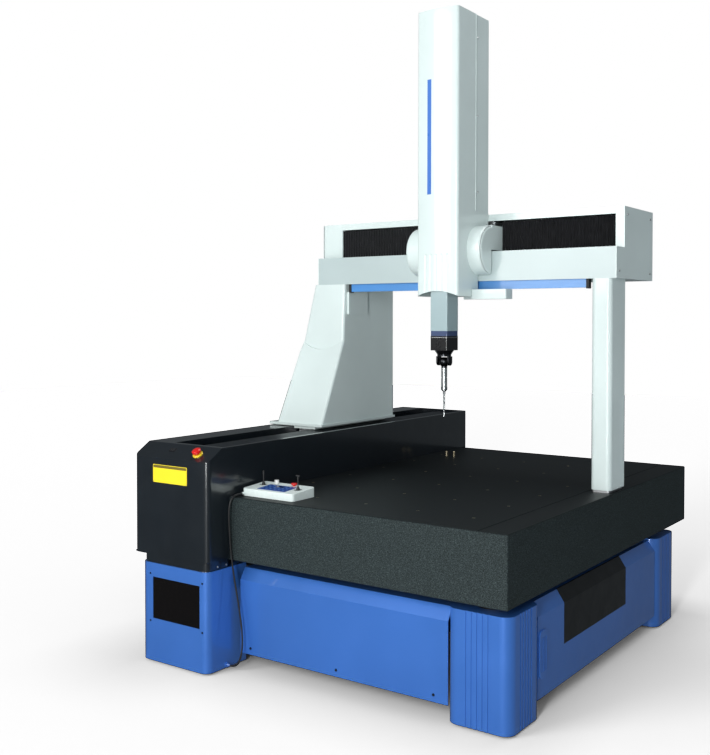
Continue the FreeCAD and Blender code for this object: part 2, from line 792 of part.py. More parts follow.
def beam_top_cover():
    t = sheet
    x0, x1 = beam_left_upper + left_cap_width + gap, beam_right - right_cap_width - gap
    profile = [(beam_step_y, beam_window_top), (beam_step_y, beam_top), (beam_rear, beam_top),
               (beam_rear, beam_bottom), (beam_rear - t, beam_bottom), (beam_rear - t, beam_top - t),
               (beam_step_y + t, beam_top - t), (beam_step_y + t, beam_window_top)]
    return along_x(profile, x0, x1)


def beam_left_cap():
    t = sheet
    x0, x1 = beam_left_upper, beam_left_upper + left_cap_width
    fold = 26
    outer = [(x0, beam_step_y + fold), (x0 + fold, beam_step_y), (x1, beam_step_y),
             (x1, beam_rear), (x0, beam_rear)]
    inner = [(x0 + t, beam_step_y + fold + t / 2), (x0 + fold + t / 2, beam_step_y + t),
             (x1 + 1, beam_step_y + t), (x1 + 1, beam_rear - t), (x0 + t, beam_rear - t)]
    shell = along_z(outer, beam_ledge, beam_top).cut(along_z(inner, beam_ledge + t, beam_top - t))
    low = block(beam_left, beam_left + t, beam_front, beam_rear, beam_bottom, beam_ledge)
    rear = block(beam_left, x1, beam_rear - t, beam_rear, beam_bottom, beam_ledge)
    floor_cut = block(beam_left + t, x1 + 1, beam_step_y + t, beam_rear - t, beam_ledge - 1,
                      beam_ledge + t + 1)
    seat = block(x1 - t, x1, beam_step_y + t, bellows_rear + 6, beam_ledge, beam_top - t)
    return join(shell.cut(floor_cut), low, rear, seat)


def beam_right_cap():
    t = sheet
    x0, x1 = beam_right - right_cap_width, beam_right
    upper = block(x0, x1, beam_step_y, beam_rear, beam_ledge, beam_top)
    hollow = block(x0 - 1, x1 - t, beam_step_y + t, beam_rear - t, beam_ledge - 1, beam_top - t)
    low = block(x1 - t, x1, beam_front, beam_rear, beam_bottom, beam_ledge)
    rear = block(x0, x1, beam_rear - t, beam_rear, beam_bottom, beam_ledge)
    seat = block(x0, x0 + t, beam_step_y + t, bellows_rear + 6, beam_ledge, beam_top - t)
    return join(upper.cut(hollow), low, rear, seat)


# ---------------------------------------------------------------- carriage
ram_x = table_right - 708
ram_left, ram_right = ram_x - ram_width / 2, ram_x + ram_width / 2
cover_left = ram_x - 105
cover_right = cover_left + cover_width
cover_front = beam_front - 198
cover_seam = cover_front + cover_front_depth
cover_z0 = table_height + cover_bottom
cover_z1 = cover_z0 + cover_height
ram_front = cover_front + 19.5
ram_rear = ram_front + ram_depth
ram_bottom = cover_z0 - ram_drop
ram_top = ram_bottom + ram_length
drum_radius = 108
drum_left, drum_right = cover_left - 111, cover_right + 65
drum_z = beam_ledge + 5
body_rear = beam_front - rail_gap
carrier_front, carrier_rear = ram_rear + 20, body_rear - wall
bow = 14                     # how far the front cover's face curves out
flute_count, flute_pitch, flute_radius = 5, 27, 12
flute_depth, flute_top = 2.6, 175
drum_edge = 16
rear_inset = 3
bellows_front, bellows_rear = beam_step_y + 6, beam_step_y + 18
bellows_seat = bellows_rear + 2
ring_gap = 14
ring_plate = 16


def front_outline(inset, rear):
    """Plan of the tall front cover: curved face, rounded corners, straight sides."""
    x0, x1 = cover_left + inset, cover_right - inset
    y = cover_front + inset
    mid = (x0 + x1) / 2
    corner = 10
    face = Part.Arc(Vector(x0 + corner, y + bow - corner * 0.3, 0), Vector(mid, y, 0),
                    Vector(x1 - corner, y + bow - corner * 0.3, 0)).toShape()
    left = Part.Arc(Vector(x0 + corner, y + bow - corner * 0.3, 0),
                    Vector(x0 + corner * 0.32, y + bow + corner * 0.15, 0),
                    Vector(x0, y + bow + corner, 0)).toShape()
    right = Part.Arc(Vector(x1 - corner, y + bow - corner * 0.3, 0),
                     Vector(x1 - corner * 0.32, y + bow + corner * 0.15, 0),
                     Vector(x1, y + bow + corner, 0)).toShape()
    sides = [Part.LineSegment(Vector(x0, y + bow + corner, 0), Vector(x0, rear, 0)).toShape(),
             Part.LineSegment(Vector(x0, rear, 0), Vector(x1, rear, 0)).toShape(),
             Part.LineSegment(Vector(x1, rear, 0), Vector(x1, y + bow + corner, 0)).toShape()]
    return Part.Wire(Part.__sortEdges__([face, left, right] + sides))


def front_prism(inset, rear, z0, z1):
    wire = front_outline(inset, rear)
    wire.translate(Vector(0, 0, z0))
    return Part.Face(wire).extrude(Vector(0, 0, z1 - z0))


def z_front_cover():
    t = wall
    shell = front_prism(0, cover_seam, cover_z0, cover_z1)
    shell = shell.cut(front_prism(t, cover_seam + 1, cover_z0 - 1, cover_z1 + 1))
    rise = 22
    half = cover_width / 2
    radius = (half * half + rise * rise) / (2 * rise)
    arch = rod((ram_x - 4.5, cover_front - 1, cover_z0 + rise - radius), (0, 1, 0), radius, 30)
    shell = shell.cut(arch)
    middle = cover_left + cover_width / 2
    for i in range(flute_count):
        x = middle + (i - (flute_count - 1) / 2) * flute_pitch
        face_y = cover_front + bow * ((x - middle) / (cover_width / 2 - 10)) ** 2 * 0.7
        y = face_y + flute_depth - flute_radius
        cutter = rod((x, y, cover_z0 - 1), (0, 0, 1), flute_radius, flute_top + 1)
        tip = Part.makeSphere(flute_radius, Vector(x, y, cover_z0 + flute_top))
        shell = shell.cut(join(cutter, tip))
    return shell


def z_rear_cover():
    t = sheet
    z0 = beam_top + rail_gap
    rear = cover_seam + cover_rear_depth
    outer = block(cover_left + rear_inset, cover_right - rear_inset, cover_seam, rear, z0, cover_z1)
    inner = block(cover_left + rear_inset + t, cover_right - rear_inset - t, cover_seam - 1, rear - t, z0 - 1,
                  cover_z1 + 1)
    return outer.makeFillet(8, upright_edges(outer, [(cover_left + rear_inset, rear),
                                                (cover_right - rear_inset, rear)])
                            ).cut(inner)


def z_top_cap():
    t = sheet
    rear = cover_seam + cover_rear_depth - t - gap
    z0 = cover_z1 - 8
    front = front_prism(wall, cover_seam, z0, z0 + t)
    back = block(cover_left + rear_inset + t, cover_right - rear_inset - t, cover_seam, rear,
                 z0, z0 + t)
    return join(front, back)


def carriage_cover():
    t = wall
    drum = rod((drum_left, beam_front, drum_z), (1, 0, 0), drum_radius, drum_right - drum_left)
    drum = drum.makeFillet(drum_edge, [e for e in drum.Edges if e.BoundBox.XLength < 1])
    neck = block(drum_left, drum_right, beam_front, bellows_seat, beam_ledge + rail_gap,
                 drum_z + drum_radius)
    behind = block(drum_left - 1, drum_right + 1, body_rear, bellows_seat + drum_radius,
                   drum_z - drum_radius - 1, beam_ledge + rail_gap)
    beyond = block(drum_left - 1, drum_right + 1, bellows_seat, bellows_seat + drum_radius,
                   drum_z - drum_radius - 1, drum_z + drum_radius + 1)
    outer = join(drum, neck).cut(behind).cut(beyond)
    drum_in = rod((drum_left + t, beam_front, drum_z), (1, 0, 0), drum_radius - t,
                  drum_right - drum_left - 2 * t)
    neck_in = block(drum_left + t, drum_right - t, beam_front, bellows_seat + 1,
                    beam_ledge + rail_gap + t, drum_z + drum_radius - t)
    low_cut = block(drum_left, drum_right, body_rear - t, bellows_seat + drum_radius,
                    drum_z - drum_radius - 1, beam_ledge + rail_gap + t)
    inner = join(drum_in, neck_in).cut(low_cut)
    body = block(cover_left, cover_right, cover_seam, body_rear, cover_z0, drum_z)
    body_in = block(cover_left + t, cover_right - t, cover_seam - 1, body_rear - t,
                    cover_z0 - 1, drum_z + 1)
    shell = join(outer, body).cut(inner).cut(body_in)
    tower = block(cover_left, cover_right, cover_seam, beam_step_y - 1, drum_z,
                  beam_top + rail_gap)
    tower_in = block(cover_left + t, cover_right - t, cover_seam - 1, beam_step_y,
                     drum_z - 1, beam_top + rail_gap + 1)
    shell = join(shell, tower.cut(outer)).cut(tower_in)
    front_room = front_prism(0, cover_seam, cover_z0, cover_z1)
    return join(shell.cut(front_room), carriage_underbox())


def carriage_frame():
    x0, x1 = cover_left - 58, cover_right + 21
    y0, y1 = guide_front - ring_gap - ring_plate, guide_rear + ring_gap + ring_plate
    z0, z1 = guide_bottom - ring_gap, guide_top + ring_gap
    ring = block(x0, x1, y0, y1, z0 - 10, z1 + 14)
    ring = ring.cut(block(x0 - 1, x1 + 1, y0 + ring_plate, y1 - ring_plate, z0, z1))
    link = block(cover_left + 12, cover_right - 12, carrier_rear, y0, beam_ledge + 20,
                 drum_z + drum_radius - 20)
    plate = block(cover_left + 12, cover_right - 12, carrier_front, carrier_rear, cover_z0 + 60,
                  cover_z1 - 360)
    return join(ring, link, plate)


def carriage_air_bearings():
    pads = []
    y_mid = (guide_front + guide_rear) / 2
    z_mid = (guide_bottom + guide_top) / 2
    for x in (cover_left - 15, cover_right - 25):
        room = ring_gap - air_film
        pads.append(air_pad((x, guide_front - air_film, z_mid), (0, -1, 0), room))
        pads.append(air_pad((x, guide_rear + air_film, z_mid), (0, 1, 0), room))
        pads.append(air_pad((x, y_mid, guide_top + air_film), (0, 0, 1), room))
        pads.append(air_pad((x, y_mid, guide_bottom - air_film), (0, 0, -1), room))
    return group(pads)


underbox_width, underbox_height = 165, 42


def carriage_underbox():
    x0, z0 = cover_right + gap, cover_z0 - 12
    body = block(x0, x0 + underbox_width, cover_seam - 38, body_rear, z0, z0 + underbox_height)
    lug = block(cover_right - 60, x0, cover_seam + 4, body_rear, z0, cover_z0)
    ends = [(x0 + underbox_width, cover_seam - 38), (x0, cover_seam - 38)]
    return join(body.makeFillet(6, upright_edges(body, ends)), lug)


def ram_guides():
    guides = []
    for z in (cover_z0 + 70, cover_z0 + 420):
        body = block(ram_left - 20, ram_right + 20, ram_front - casting, carrier_front, z, z + 44)
        guides.append(body.cut(block(ram_left - air_film, ram_right + air_film, ram_front - air_film,
                                     ram_rear + air_film, z - 1, z + 45)))
    return group(guides)


def z_drive_motor():
    z = cover_z1 - 470
    body = rod((cover_left + 40, carrier_rear, z), (0, 1, 0), 28, 70)
    flange = block(cover_left + 14, cover_left + 66, carrier_rear, carrier_rear + 8, z - 30, z + 30)
    return join(body, flange)


# ---------------------------------------------------------------- vertical ram and probe
collar_z = 22
head_center_z = ram_bottom - collar_z - 112
probe_radius = 12.8
probe_length = 94
stylus_radius = 3
spindle_radius, spindle_length = 10, 30


def z_ram():
    body = rounded_block(ram_left, ram_right, ram_front, ram_rear, ram_bottom, ram_top, 2)
    bore = block(ram_left + casting, ram_right - casting, ram_front + casting, ram_rear - casting,
                 ram_bottom + 20, ram_top + 1)
    return body.cut(bore)


def ram_collar():
    return rounded_block(ram_left + 0.5, ram_right - 0.5, ram_front + 0.5, ram_rear - 0.5,
                         ram_bottom - collar_z, ram_bottom, 3)


ram_y = (ram_front + ram_rear) / 2
head_top = ram_bottom - collar_z


def probe_head_body():
    w, d = ram_width / 2 + 1.5, ram_depth / 2 + 1.5
    body = rounded_block(ram_x - w, ram_x + w, ram_y - d, ram_y + d, head_top - 62, head_top, 8)
    taper = Part.makeCone(30, 42, 18, Vector(ram_x, ram_y, head_top - 80))
    bore = rod((ram_x, ram_y, head_top - 81), (0, 0, 1), spindle_radius + air_film, spindle_length + 2)
    return join(body, taper).cut(bore)


def head_turret():
    z = head_top - 80 - gap
    disc = rod((ram_x, ram_y, z - 8), (0, 0, 1), 30, 8)
    fork_top = z - 8
    cheeks = []
    for side in (-1, 1):
        x = ram_x + side * 27
        cheek = block(x - 4, x + 4, ram_y - 16, ram_y + 16, head_center_z, fork_top)
        eye = rod((x - 4, ram_y, head_center_z), (1, 0, 0), 16, 8)
        cheeks.append(join(cheek, eye))
    spindle = rod((ram_x, ram_y, z), (0, 0, 1), spindle_radius, spindle_length)
    fork = join(disc, spindle, cheeks[0], cheeks[1])
    hole = rod((ram_x - 40, ram_y, head_center_z), (1, 0, 0), 5, 80)
    return fork.cut(hole)


def head_knuckle():
    ball = Part.makeSphere(22.5, Vector(ram_x, ram_y, head_center_z))
    core = block(ram_x - 22.5, ram_x + 22.5, ram_y - 30, ram_y + 30, head_center_z - 30,
                 head_center_z + 20)
    trunnion = rod((ram_x - 31.5, ram_y, head_center_z), (1, 0, 0), 5 - 0.05, 63)
    socket = rod((ram_x, ram_y, head_center_z - 26), (0, 0, 1), probe_radius, 10)
    return join(ball.common(core), trunnion, socket)


def probe_body():
    z1 = head_center_z - 26
    upper = rod((ram_x, ram_y, z1 - 40), (0, 0, 1), probe_radius, 40)
    waist = rod((ram_x, ram_y, z1 - 44), (0, 0, 1), probe_radius - 1.5, 4)
    lower = rod((ram_x, ram_y, z1 - probe_length), (0, 0, 1), probe_radius, probe_length - 44)
    cone = Part.makeCone(5, probe_radius, 8, Vector(ram_x, ram_y, z1 - probe_length - 8))
    return join(upper, waist, lower, cone)


tip_z = table_height + 280
ball_radius = 4


def stylus():
    z1 = head_center_z - 26 - probe_length - 8
    adapter = rod((ram_x, ram_y, z1 - 12), (0, 0, 1), 4.5, 12)
    shaft = rod((ram_x, ram_y, tip_z + ball_radius), (0, 0, 1), stylus_radius, z1 - 12 - tip_z - ball_radius)
    ball = Part.makeSphere(ball_radius, Vector(ram_x, ram_y, tip_z + ball_radius))
    return join(adapter, shaft, ball)


# ---------------------------------------------------------------- bellows
pleat_pitch = 12
bellows_low, bellows_high = beam_ledge + rail_gap, beam_window_top - 4


def bellows(x0, x1):
    """A pleated cloth cover: one zigzag sheet, standing on edge."""
    count = int(round((x1 - x0) / pleat_pitch))
    pitch = (x1 - x0) / count
    front = [(x0 + i * pitch / 2, bellows_front if i % 2 else bellows_rear - 1.5)
             for i in range(2 * count + 1)]
    rear = [(x, y + 1.5) for x, y in reversed(front)]
    return along_z(front + rear, bellows_low, bellows_high)


# ---------------------------------------------------------------- joystick box
box_left = housing_right + 25
box_width, box_depth = 258, 145
box_front = table_front + 46
box_split = table_height + 20
box_top_front, box_top_rear = table_height + 30, table_height + 40
box_radius = 14
box_wall = 3


def joystick_lower_shell():
    x1, y1 = box_left + box_width, box_front + box_depth
    t = box_wall
    outer = rounded_block(box_left, x1, box_front, y1, table_height + 1, box_split, box_radius)
    inner = rounded_block(box_left + t, x1 - t, box_front + t, y1 - t, table_height + 1 + t,
                          box_split + 1, box_radius - t)
    feet = [rod((x, y, table_height), (0, 0, 1), 7, 1.5)
            for x in (box_left + 24, x1 - 24) for y in (box_front + 24, y1 - 24)]
    return join(outer.cut(inner), gimbal_cradles(), cord_relief(), *feet)


stick_places = [(box_left + 36, box_front + 90), (box_left + box_width - 32, box_front + 74)]
knob_place = (box_left + 82, box_front + 118)
box_stop_place = (box_left + 170, box_front + 120)
keypad_x0, keypad_x1 = box_left + 64, box_left + 202
keypad_y0, keypad_y1 = box_front + 18, box_front + 100
well_radius = 17
gimbal_radius = 14


def box_top_at(y):
    return box_top_front + (box_top_rear - box_top_front) * (y - box_front) / box_depth


def joystick_upper_shell():
    x1, y1 = box_left + box_width, box_front + box_depth
    t = box_wall
    outer = rounded_block(box_left, x1, box_front, y1, box_split, box_top_rear, box_radius)
    roof = along_x([(box_front - 1, box_top_at(box_front - 1)), (box_front - 1, box_top_rear + 9),
                    (y1 + 1, box_top_rear + 9), (y1 + 1, box_top_at(y1 + 1))], box_left - 1, x1 + 1)
    inner = rounded_block(box_left + t, x1 - t, box_front + t, y1 - t, box_split - 1,
                          box_top_rear, box_radius - t)
    roof_in = roof.copy()
    roof_in.translate(Vector(0, 0, -t))
    shell = outer.cut(roof)
    rim = [e for e in shell.Edges if e.BoundBox.ZMin > box_split + 10]
    shell = shell.makeFillet(2.5, rim).cut(inner.cut(roof_in))
    holes = [rod((x, y, box_split), (0, 0, 1), well_radius, 60) for x, y in stick_places]
    holes.append(rod(knob_place + (box_split,), (0, 0, 1), 4.1, 60))
    holes.append(rod(box_stop_place + (box_split,), (0, 0, 1), 6.1, 60))
    for hole in holes:
        shell = shell.cut(hole)
    return shell


def keypad():
    z = box_top_at(keypad_y0)
    angle = math.degrees(math.atan2(box_top_rear - box_top_front, box_depth))
    plate = block(0, keypad_x1 - keypad_x0, 0, keypad_y1 - keypad_y0, 0, 1.2)
    key_columns, key_rows = 6, 3
    keys = []
    for i in range(key_columns):
        for j in range(key_rows):
            if i in (2, 3) and j == 2:
                continue
            x, y = 9 + i * 21, 8 + j * 24
            keys.append(block(x, x + 14, y, y + 13, 1.2, 2.6))
    pad = join(plate, *keys)
    pad.rotate(Vector(0, 0, 0), Vector(1, 0, 0), angle)
    pad.translate(Vector(keypad_x0, keypad_y0, z + air_film))
    return pad


stick_pivot_z = table_height + 24
pivot_radius, pivot_play = 1.5, 0.05


def stick_gimbal(place):
    """Outer ring of the joystick: it turns about X in the box and carries the stick about Y."""
    x, y = place
    ring = rod((x, y, stick_pivot_z - 4), (0, 0, 1), gimbal_radius, 8)
    ring = ring.cut(rod((x, y, stick_pivot_z - 5), (0, 0, 1), gimbal_radius - 3.5, 10))
    ring = ring.cut(rod((x, y - 20, stick_pivot_z), (0, 1, 0), pivot_radius + pivot_play, 40))
    pins = []
    for side in (-1, 1):
        pins.append(rod((x + side * (gimbal_radius - 2), y, stick_pivot_z), (side, 0, 0),
                        pivot_radius, 6))
    return join(ring, pins[0], pins[1])


def gimbal_cradles():
    """Two ears per joystick, standing on the lower shell, that carry the ring's pins."""
    cradles = []
    for x, y in stick_places:
        for side in (-1, 1):
            ear = block(x + side * (gimbal_radius + 2) - 1.5, x + side * (gimbal_radius + 2) + 1.5,
                        y - 4, y + 4, table_height + 1 + box_wall, stick_pivot_z + 3.5)
            cradles.append(ear.cut(rod((x - 30, y, stick_pivot_z), (1, 0, 0),
                                       pivot_radius + pivot_play, 60)))
    return group(cradles)


def stick(place, top):
    x, y = place
    hub = Part.makeSphere(6, Vector(x, y, stick_pivot_z))
    pin = rod((x, y - gimbal_radius + 1.5, stick_pivot_z), (0, 1, 0), pivot_radius,
              2 * gimbal_radius - 3)
    shaft = rod((x, y, stick_pivot_z), (0, 0, 1), 2.6, 62)
    boot = Part.makeCone(8.5, 4, 14, Vector(x, y, stick_pivot_z + 10))
    grip = rod((x, y, stick_pivot_z + 52), (0, 0, 1), 4, 16)
    body = join(hub, pin, shaft, boot, grip)
    if top:
        bar = rod((x - 9, y, stick_pivot_z + 66), (1, 0, 0), 3.2, 18)
        body = join(body, bar)
    return body


def speed_knob():
    x, y = knob_place
    z = box_top_at(y)
    knob = Part.makeCone(10, 9, 15, Vector(x, y, z + 1.6))
    stem = rod((x, y, box_split), (0, 0, 1), 4, z + 2 - box_split)
    notch = block(x - 1, x + 1, y - 12, y - 6.5, z + 5, z + 20)
    return join(knob, stem).cut(notch)


box_stop_travel = 3


def box_stop_button():
    x, y = box_stop_place
    z = box_top_at(y) + box_stop_travel + 2
    stem = rod((x, y, box_split + 4), (0, 0, 1), 6, z - box_split - 2)
    head = rod((x, y, z), (0, 0, 1), 12, 7)
    head = head.makeFillet(2, [e for e in head.Edges if e.BoundBox.ZMin > z + 6.9])
    return join(stem, head)


# ---------------------------------------------------------------- cord of the joystick box
cord_radius = 3.5
relief_radius, relief_length = 6, 12.5
gland_radius, gland_length = 8, 13
cord_points = [(-369, -871, 701), (-371, -890, 701), (-377, -908, 697), (-383, -922, 682),
               (-387, -929, 654), (-388, -929, 605), (-388, -925, 545), (-387, -919, 475),
               (-382, -912, 400), (-372, -906, 325), (-360, -901, 250), (-349, -899, 180),
               (-342, -901, 118), (-343, -907, 66), (-354, -914, 32), (-373, -918, 20),
               (-391, -919.5, 20)]
cord_exit_inset, cord_exit_height = 11, 11
gland_inset, gland_height = 113, 11
cord_exit_hole = (box_left + cord_exit_inset, box_front + 2 * box_wall,
                  table_height + cord_exit_height)
gland_point = (cabinet_right - sheet - 1, cabinet_front + gland_inset, post_clearance + gland_height)


def cord_relief():
    x, y, z = cord_exit_hole
    cone = Part.makeCone(relief_radius, cord_radius + 0.6, relief_length, Vector(x, box_front, z),
                         Vector(0, -1, 0))
    plug = rod((x, box_front + 2 * box_wall, z), (0, -1, 0), relief_radius, 2 * box_wall)
    return join(cone, plug)


def cable_gland():
    x, y, z = gland_point
    body = rod((x, y, z), (1, 0, 0), gland_radius, 8)
    nut = rod((cabinet_right, y, z), (1, 0, 0), gland_radius + 3, 5)
    cone = Part.makeCone(gland_radius, cord_radius + 0.6, gland_length,
                         Vector(cabinet_right + 5, y, z), Vector(1, 0, 0))
    return join(body, nut, cone)


def cord_path():
    points = [Vector(*p) for p in cord_points]
    edges = []
    start = points[0]
    for before, corner, after in zip(points, points[1:], points[2:]):
        into, out = corner - before, after - corner
        turn = into.getAngle(out)
        reach = 0.45 * min(into.Length, out.Length)
        radius = reach / math.tan(turn / 2)
        print("cord radius %.0f" % radius)
        a = corner - into * (reach / into.Length)
        b = corner + out * (reach / out.Length)
        halfway = (a + b) * 0.5 - corner
        to_center = halfway * (1 / halfway.Length)
        center_distance = math.hypot(reach, radius)
        middle = corner + to_center * (center_distance - radius)
        edges.append(Part.LineSegment(start, a).toShape())
        edges.append(Part.Arc(a, middle, b).toShape())
        start = b
    edges.append(Part.LineSegment(start, points[-1]).toShape())
    return Part.Wire(edges)


def joystick_cord():
    path = cord_path()
    direction = Vector(*cord_points[1]) - Vector(*cord_points[0])
    circle = Part.Wire([Part.makeCircle(cord_radius, Vector(*cord_points[0]), direction)])
    tube = path.makePipeShell([circle], True, True)
    print("cord length %.1f, volume ratio %.4f" % (
        path.Length, tube.Volume / (math.pi * cord_radius ** 2 * path.Length)))
    return tube


# ---------------------------------------------------------------- all nodes
nodes = {
    "stand_frame": stand_frame(),
    "leveling_feet": leveling_feet(),
    "vibration_mounts": vibration_mounts(),
    "corner_posts": corner_posts(),
    "front_panel": front_panel(),
    "right_panel": right_panel(),
    "vent_panel": vent_panel(),
    "rear_panels": group([left_panel(), rear_panel()]),
    "cabinet_shell": cabinet_shell(),
    "cabinet_window": cabinet_window(),
    "controller_unit": controller_unit(),
    "granite_table": granite_table(),
    "table_inserts": group([table_inserts(), locating_posts()]),
    "y_guide_rail": y_guide_rail(),
    "housing_nose": housing_nose(),
    "housing_right_cover": housing_right_cover(),
    "housing_left_cover": housing_left_cover(),
    "housing_rear_cover": housing_rear_cover(),
    "slot_strip": slot_strip(),
    "y_belt_drive": group([y_drive_motor(), y_belt_pulleys(), y_idler_bracket()]),
    "y_drive_belt": y_drive_belt(),
    "estop_collar": estop_collar(),
    "estop_button": estop_button(),
    "power_switch": power_switch(),
    "y_saddle": y_saddle(),
    "y_air_bearings": group([y_air_bearings(), column_air_bearing()]),
    "leg_foot": leg_foot(),
    "leg_column": leg_column(),
    "leg_cover": join(leg_cover(), leg_side_cover()),
    "right_column": right_column(),
    "x_beam": x_beam(),
    "beam_lower_cover": beam_lower_cover(),
    "beam_blue_strip": beam_blue_strip(),
    "beam_top_cover": beam_top_cover(),
    "beam_end_caps": group([beam_left_cap(), beam_right_cap()]),
    "bellows_left": bellows(beam_left_upper + left_cap_width, drum_left),
    "bellows_right": bellows(drum_right, beam_right - right_cap_width),
    "z_front_cover": z_front_cover(),
    "z_rear_cover": group([z_rear_cover(), z_top_cap()]),
    "carriage_cover": carriage_cover(),
    "carriage_frame": join(carriage_frame(), ram_guides()),
    "carriage_air_bearings": carriage_air_bearings(),
    "z_drive_motor": z_drive_motor(),
    "z_ram": z_ram(),
    "ram_collar": ram_collar(),
    "probe_head_body": probe_head_body(),
    "head_turret": head_turret(),
    "head_knuckle": head_knuckle(),
    "probe_body": probe_body(),
    "stylus": stylus(),
    "joystick_lower_shell": joystick_lower_shell(),
    "joystick_upper_shell": joystick_upper_shell(),
    "keypad": keypad(),
    "left_stick_ring": stick_gimbal(stick_places[0]),
    "left_stick": stick(stick_places[0], False),
    "right_stick_ring": stick_gimbal(stick_places[1]),
    "right_stick": stick(stick_places[1], True),
    "speed_knob": speed_knob(),
    "box_stop_button": box_stop_button(),
    "joystick_cord": joystick_cord(),
}


for node, shape in nodes.items():
    save(node, shape)
    if not shape.isValid():
        print("not valid:", node)
print(len(nodes), "nodes")
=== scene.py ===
import math

import bmesh
import bpy
from mathutils import Matrix, Vector
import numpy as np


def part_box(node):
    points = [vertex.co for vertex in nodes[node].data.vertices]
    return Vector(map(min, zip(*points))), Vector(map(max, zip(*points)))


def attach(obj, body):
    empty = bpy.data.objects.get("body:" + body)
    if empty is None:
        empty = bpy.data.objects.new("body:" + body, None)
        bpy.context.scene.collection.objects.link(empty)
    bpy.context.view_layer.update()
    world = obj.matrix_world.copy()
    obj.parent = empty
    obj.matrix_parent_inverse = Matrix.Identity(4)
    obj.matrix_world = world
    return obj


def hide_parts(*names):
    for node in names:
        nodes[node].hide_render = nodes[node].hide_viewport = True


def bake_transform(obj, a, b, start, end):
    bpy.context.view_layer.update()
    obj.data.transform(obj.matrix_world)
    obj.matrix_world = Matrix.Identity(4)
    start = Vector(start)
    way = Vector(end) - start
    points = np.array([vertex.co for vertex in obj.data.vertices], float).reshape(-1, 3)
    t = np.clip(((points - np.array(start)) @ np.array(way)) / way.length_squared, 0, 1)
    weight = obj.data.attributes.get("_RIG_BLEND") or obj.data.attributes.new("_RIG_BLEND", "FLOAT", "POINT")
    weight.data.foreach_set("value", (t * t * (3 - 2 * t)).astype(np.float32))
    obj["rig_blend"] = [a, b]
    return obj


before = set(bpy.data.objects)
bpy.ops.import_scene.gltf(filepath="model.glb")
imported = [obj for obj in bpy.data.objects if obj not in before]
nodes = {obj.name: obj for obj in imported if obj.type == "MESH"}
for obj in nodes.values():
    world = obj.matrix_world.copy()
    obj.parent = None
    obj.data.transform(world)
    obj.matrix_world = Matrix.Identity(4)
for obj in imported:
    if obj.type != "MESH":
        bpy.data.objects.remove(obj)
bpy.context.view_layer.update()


# ---------------------------------------------------------------- viewpoint and room
# A white seamless room: a large soft light and a tall strip in front, weak ones at
# the side and above. Glossy rays meet dark flags, so dark paint stays dark.
eye = Vector((2.2793, -3.8813, 1.3983))
turn, dip, roll = math.radians(35.85), math.radians(-1.22), math.radians(0.02)

camera_data = bpy.data.cameras.new("view_camera")
camera_data.lens = 47.9
camera_data.sensor_width = 36
camera_data.shift_x = 0.0219
camera_data.shift_y = -0.0498
camera_data.clip_end = 60
camera = bpy.data.objects.new("view_camera", camera_data)
camera.matrix_world = (Matrix.Translation(eye) @ Matrix.Rotation(turn, 4, "Z")
                       @ Matrix.Rotation(math.pi / 2 + dip, 4, "X") @ Matrix.Rotation(roll, 4, "Z"))
bpy.context.scene.collection.objects.link(camera)
bpy.context.scene.camera = camera


def soft_light(name, place, target, width, height, power, colour):
    """A rectangular soft light at a place, turned to a target."""
    lamp = bpy.data.lights.new(name, "AREA")
    lamp.shape = "RECTANGLE"
    lamp.size = width
    lamp.size_y = height
    lamp.energy = power
    lamp.color = colour
    holder = bpy.data.objects.new(name, lamp)
    aim = (Vector(target) - Vector(place)).to_track_quat("-Z", "Y")
    holder.matrix_world = Matrix.Translation(Vector(place)) @ aim.to_matrix().to_4x4()
    bpy.context.scene.collection.objects.link(holder)


soft_light("key_softbox", (-1.9, -5.6, 3.0), (0.0, 0.0, 1.1), 2.6, 2.8, 140, (1.0, 1.0, 0.98))
soft_light("edge_strip", (1.8, -5.6, 1.5), (-0.2, -0.6, 0.9), 0.55, 2.9, 190, (0.97, 1.0, 1.0))
soft_light("side_softbox", (5.4, -0.6, 2.6), (0.2, 0.0, 1.2), 1.6, 3.0, 10, (0.93, 0.97, 1.0))
soft_light("top_softbox", (0.2, 0.4, 5.2), (0.2, 0.0, 1.0), 2.4, 2.4, 70, (1.0, 1.0, 1.0))

world = bpy.data.worlds.new("studio_room")
bpy.context.scene.world = world
world.use_nodes = True
room = world.node_tree
dome = room.nodes["Background"]
dome.inputs["Color"].default_value = (0.84, 0.94, 1.0, 1)
dome.inputs["Strength"].default_value = 0.34
backdrop = room.nodes.new("ShaderNodeBackground")
backdrop.inputs["Color"].default_value = (1.0, 1.0, 1.0, 1)
ray = room.nodes.new("ShaderNodeLightPath")
black_flags = room.nodes.new("ShaderNodeBackground")
black_flags.inputs["Color"].default_value = (0.84, 0.94, 1.0, 1)
black_flags.inputs["Strength"].default_value = 0.10
unlit = room.nodes.new("ShaderNodeMixShader")
room.links.new(ray.outputs["Is Glossy Ray"], unlit.inputs["Fac"])
room.links.new(dome.outputs["Background"], unlit.inputs[1])
room.links.new(black_flags.outputs["Background"], unlit.inputs[2])
either = room.nodes.new("ShaderNodeMixShader")
room.links.new(ray.outputs["Is Camera Ray"], either.inputs["Fac"])
room.links.new(unlit.outputs["Shader"], either.inputs[1])
room.links.new(backdrop.outputs["Background"], either.inputs[2])
room.links.new(either.outputs["Shader"], room.nodes["World Output"].inputs["Surface"])
bpy.context.scene.view_settings.view_transform = "Standard"

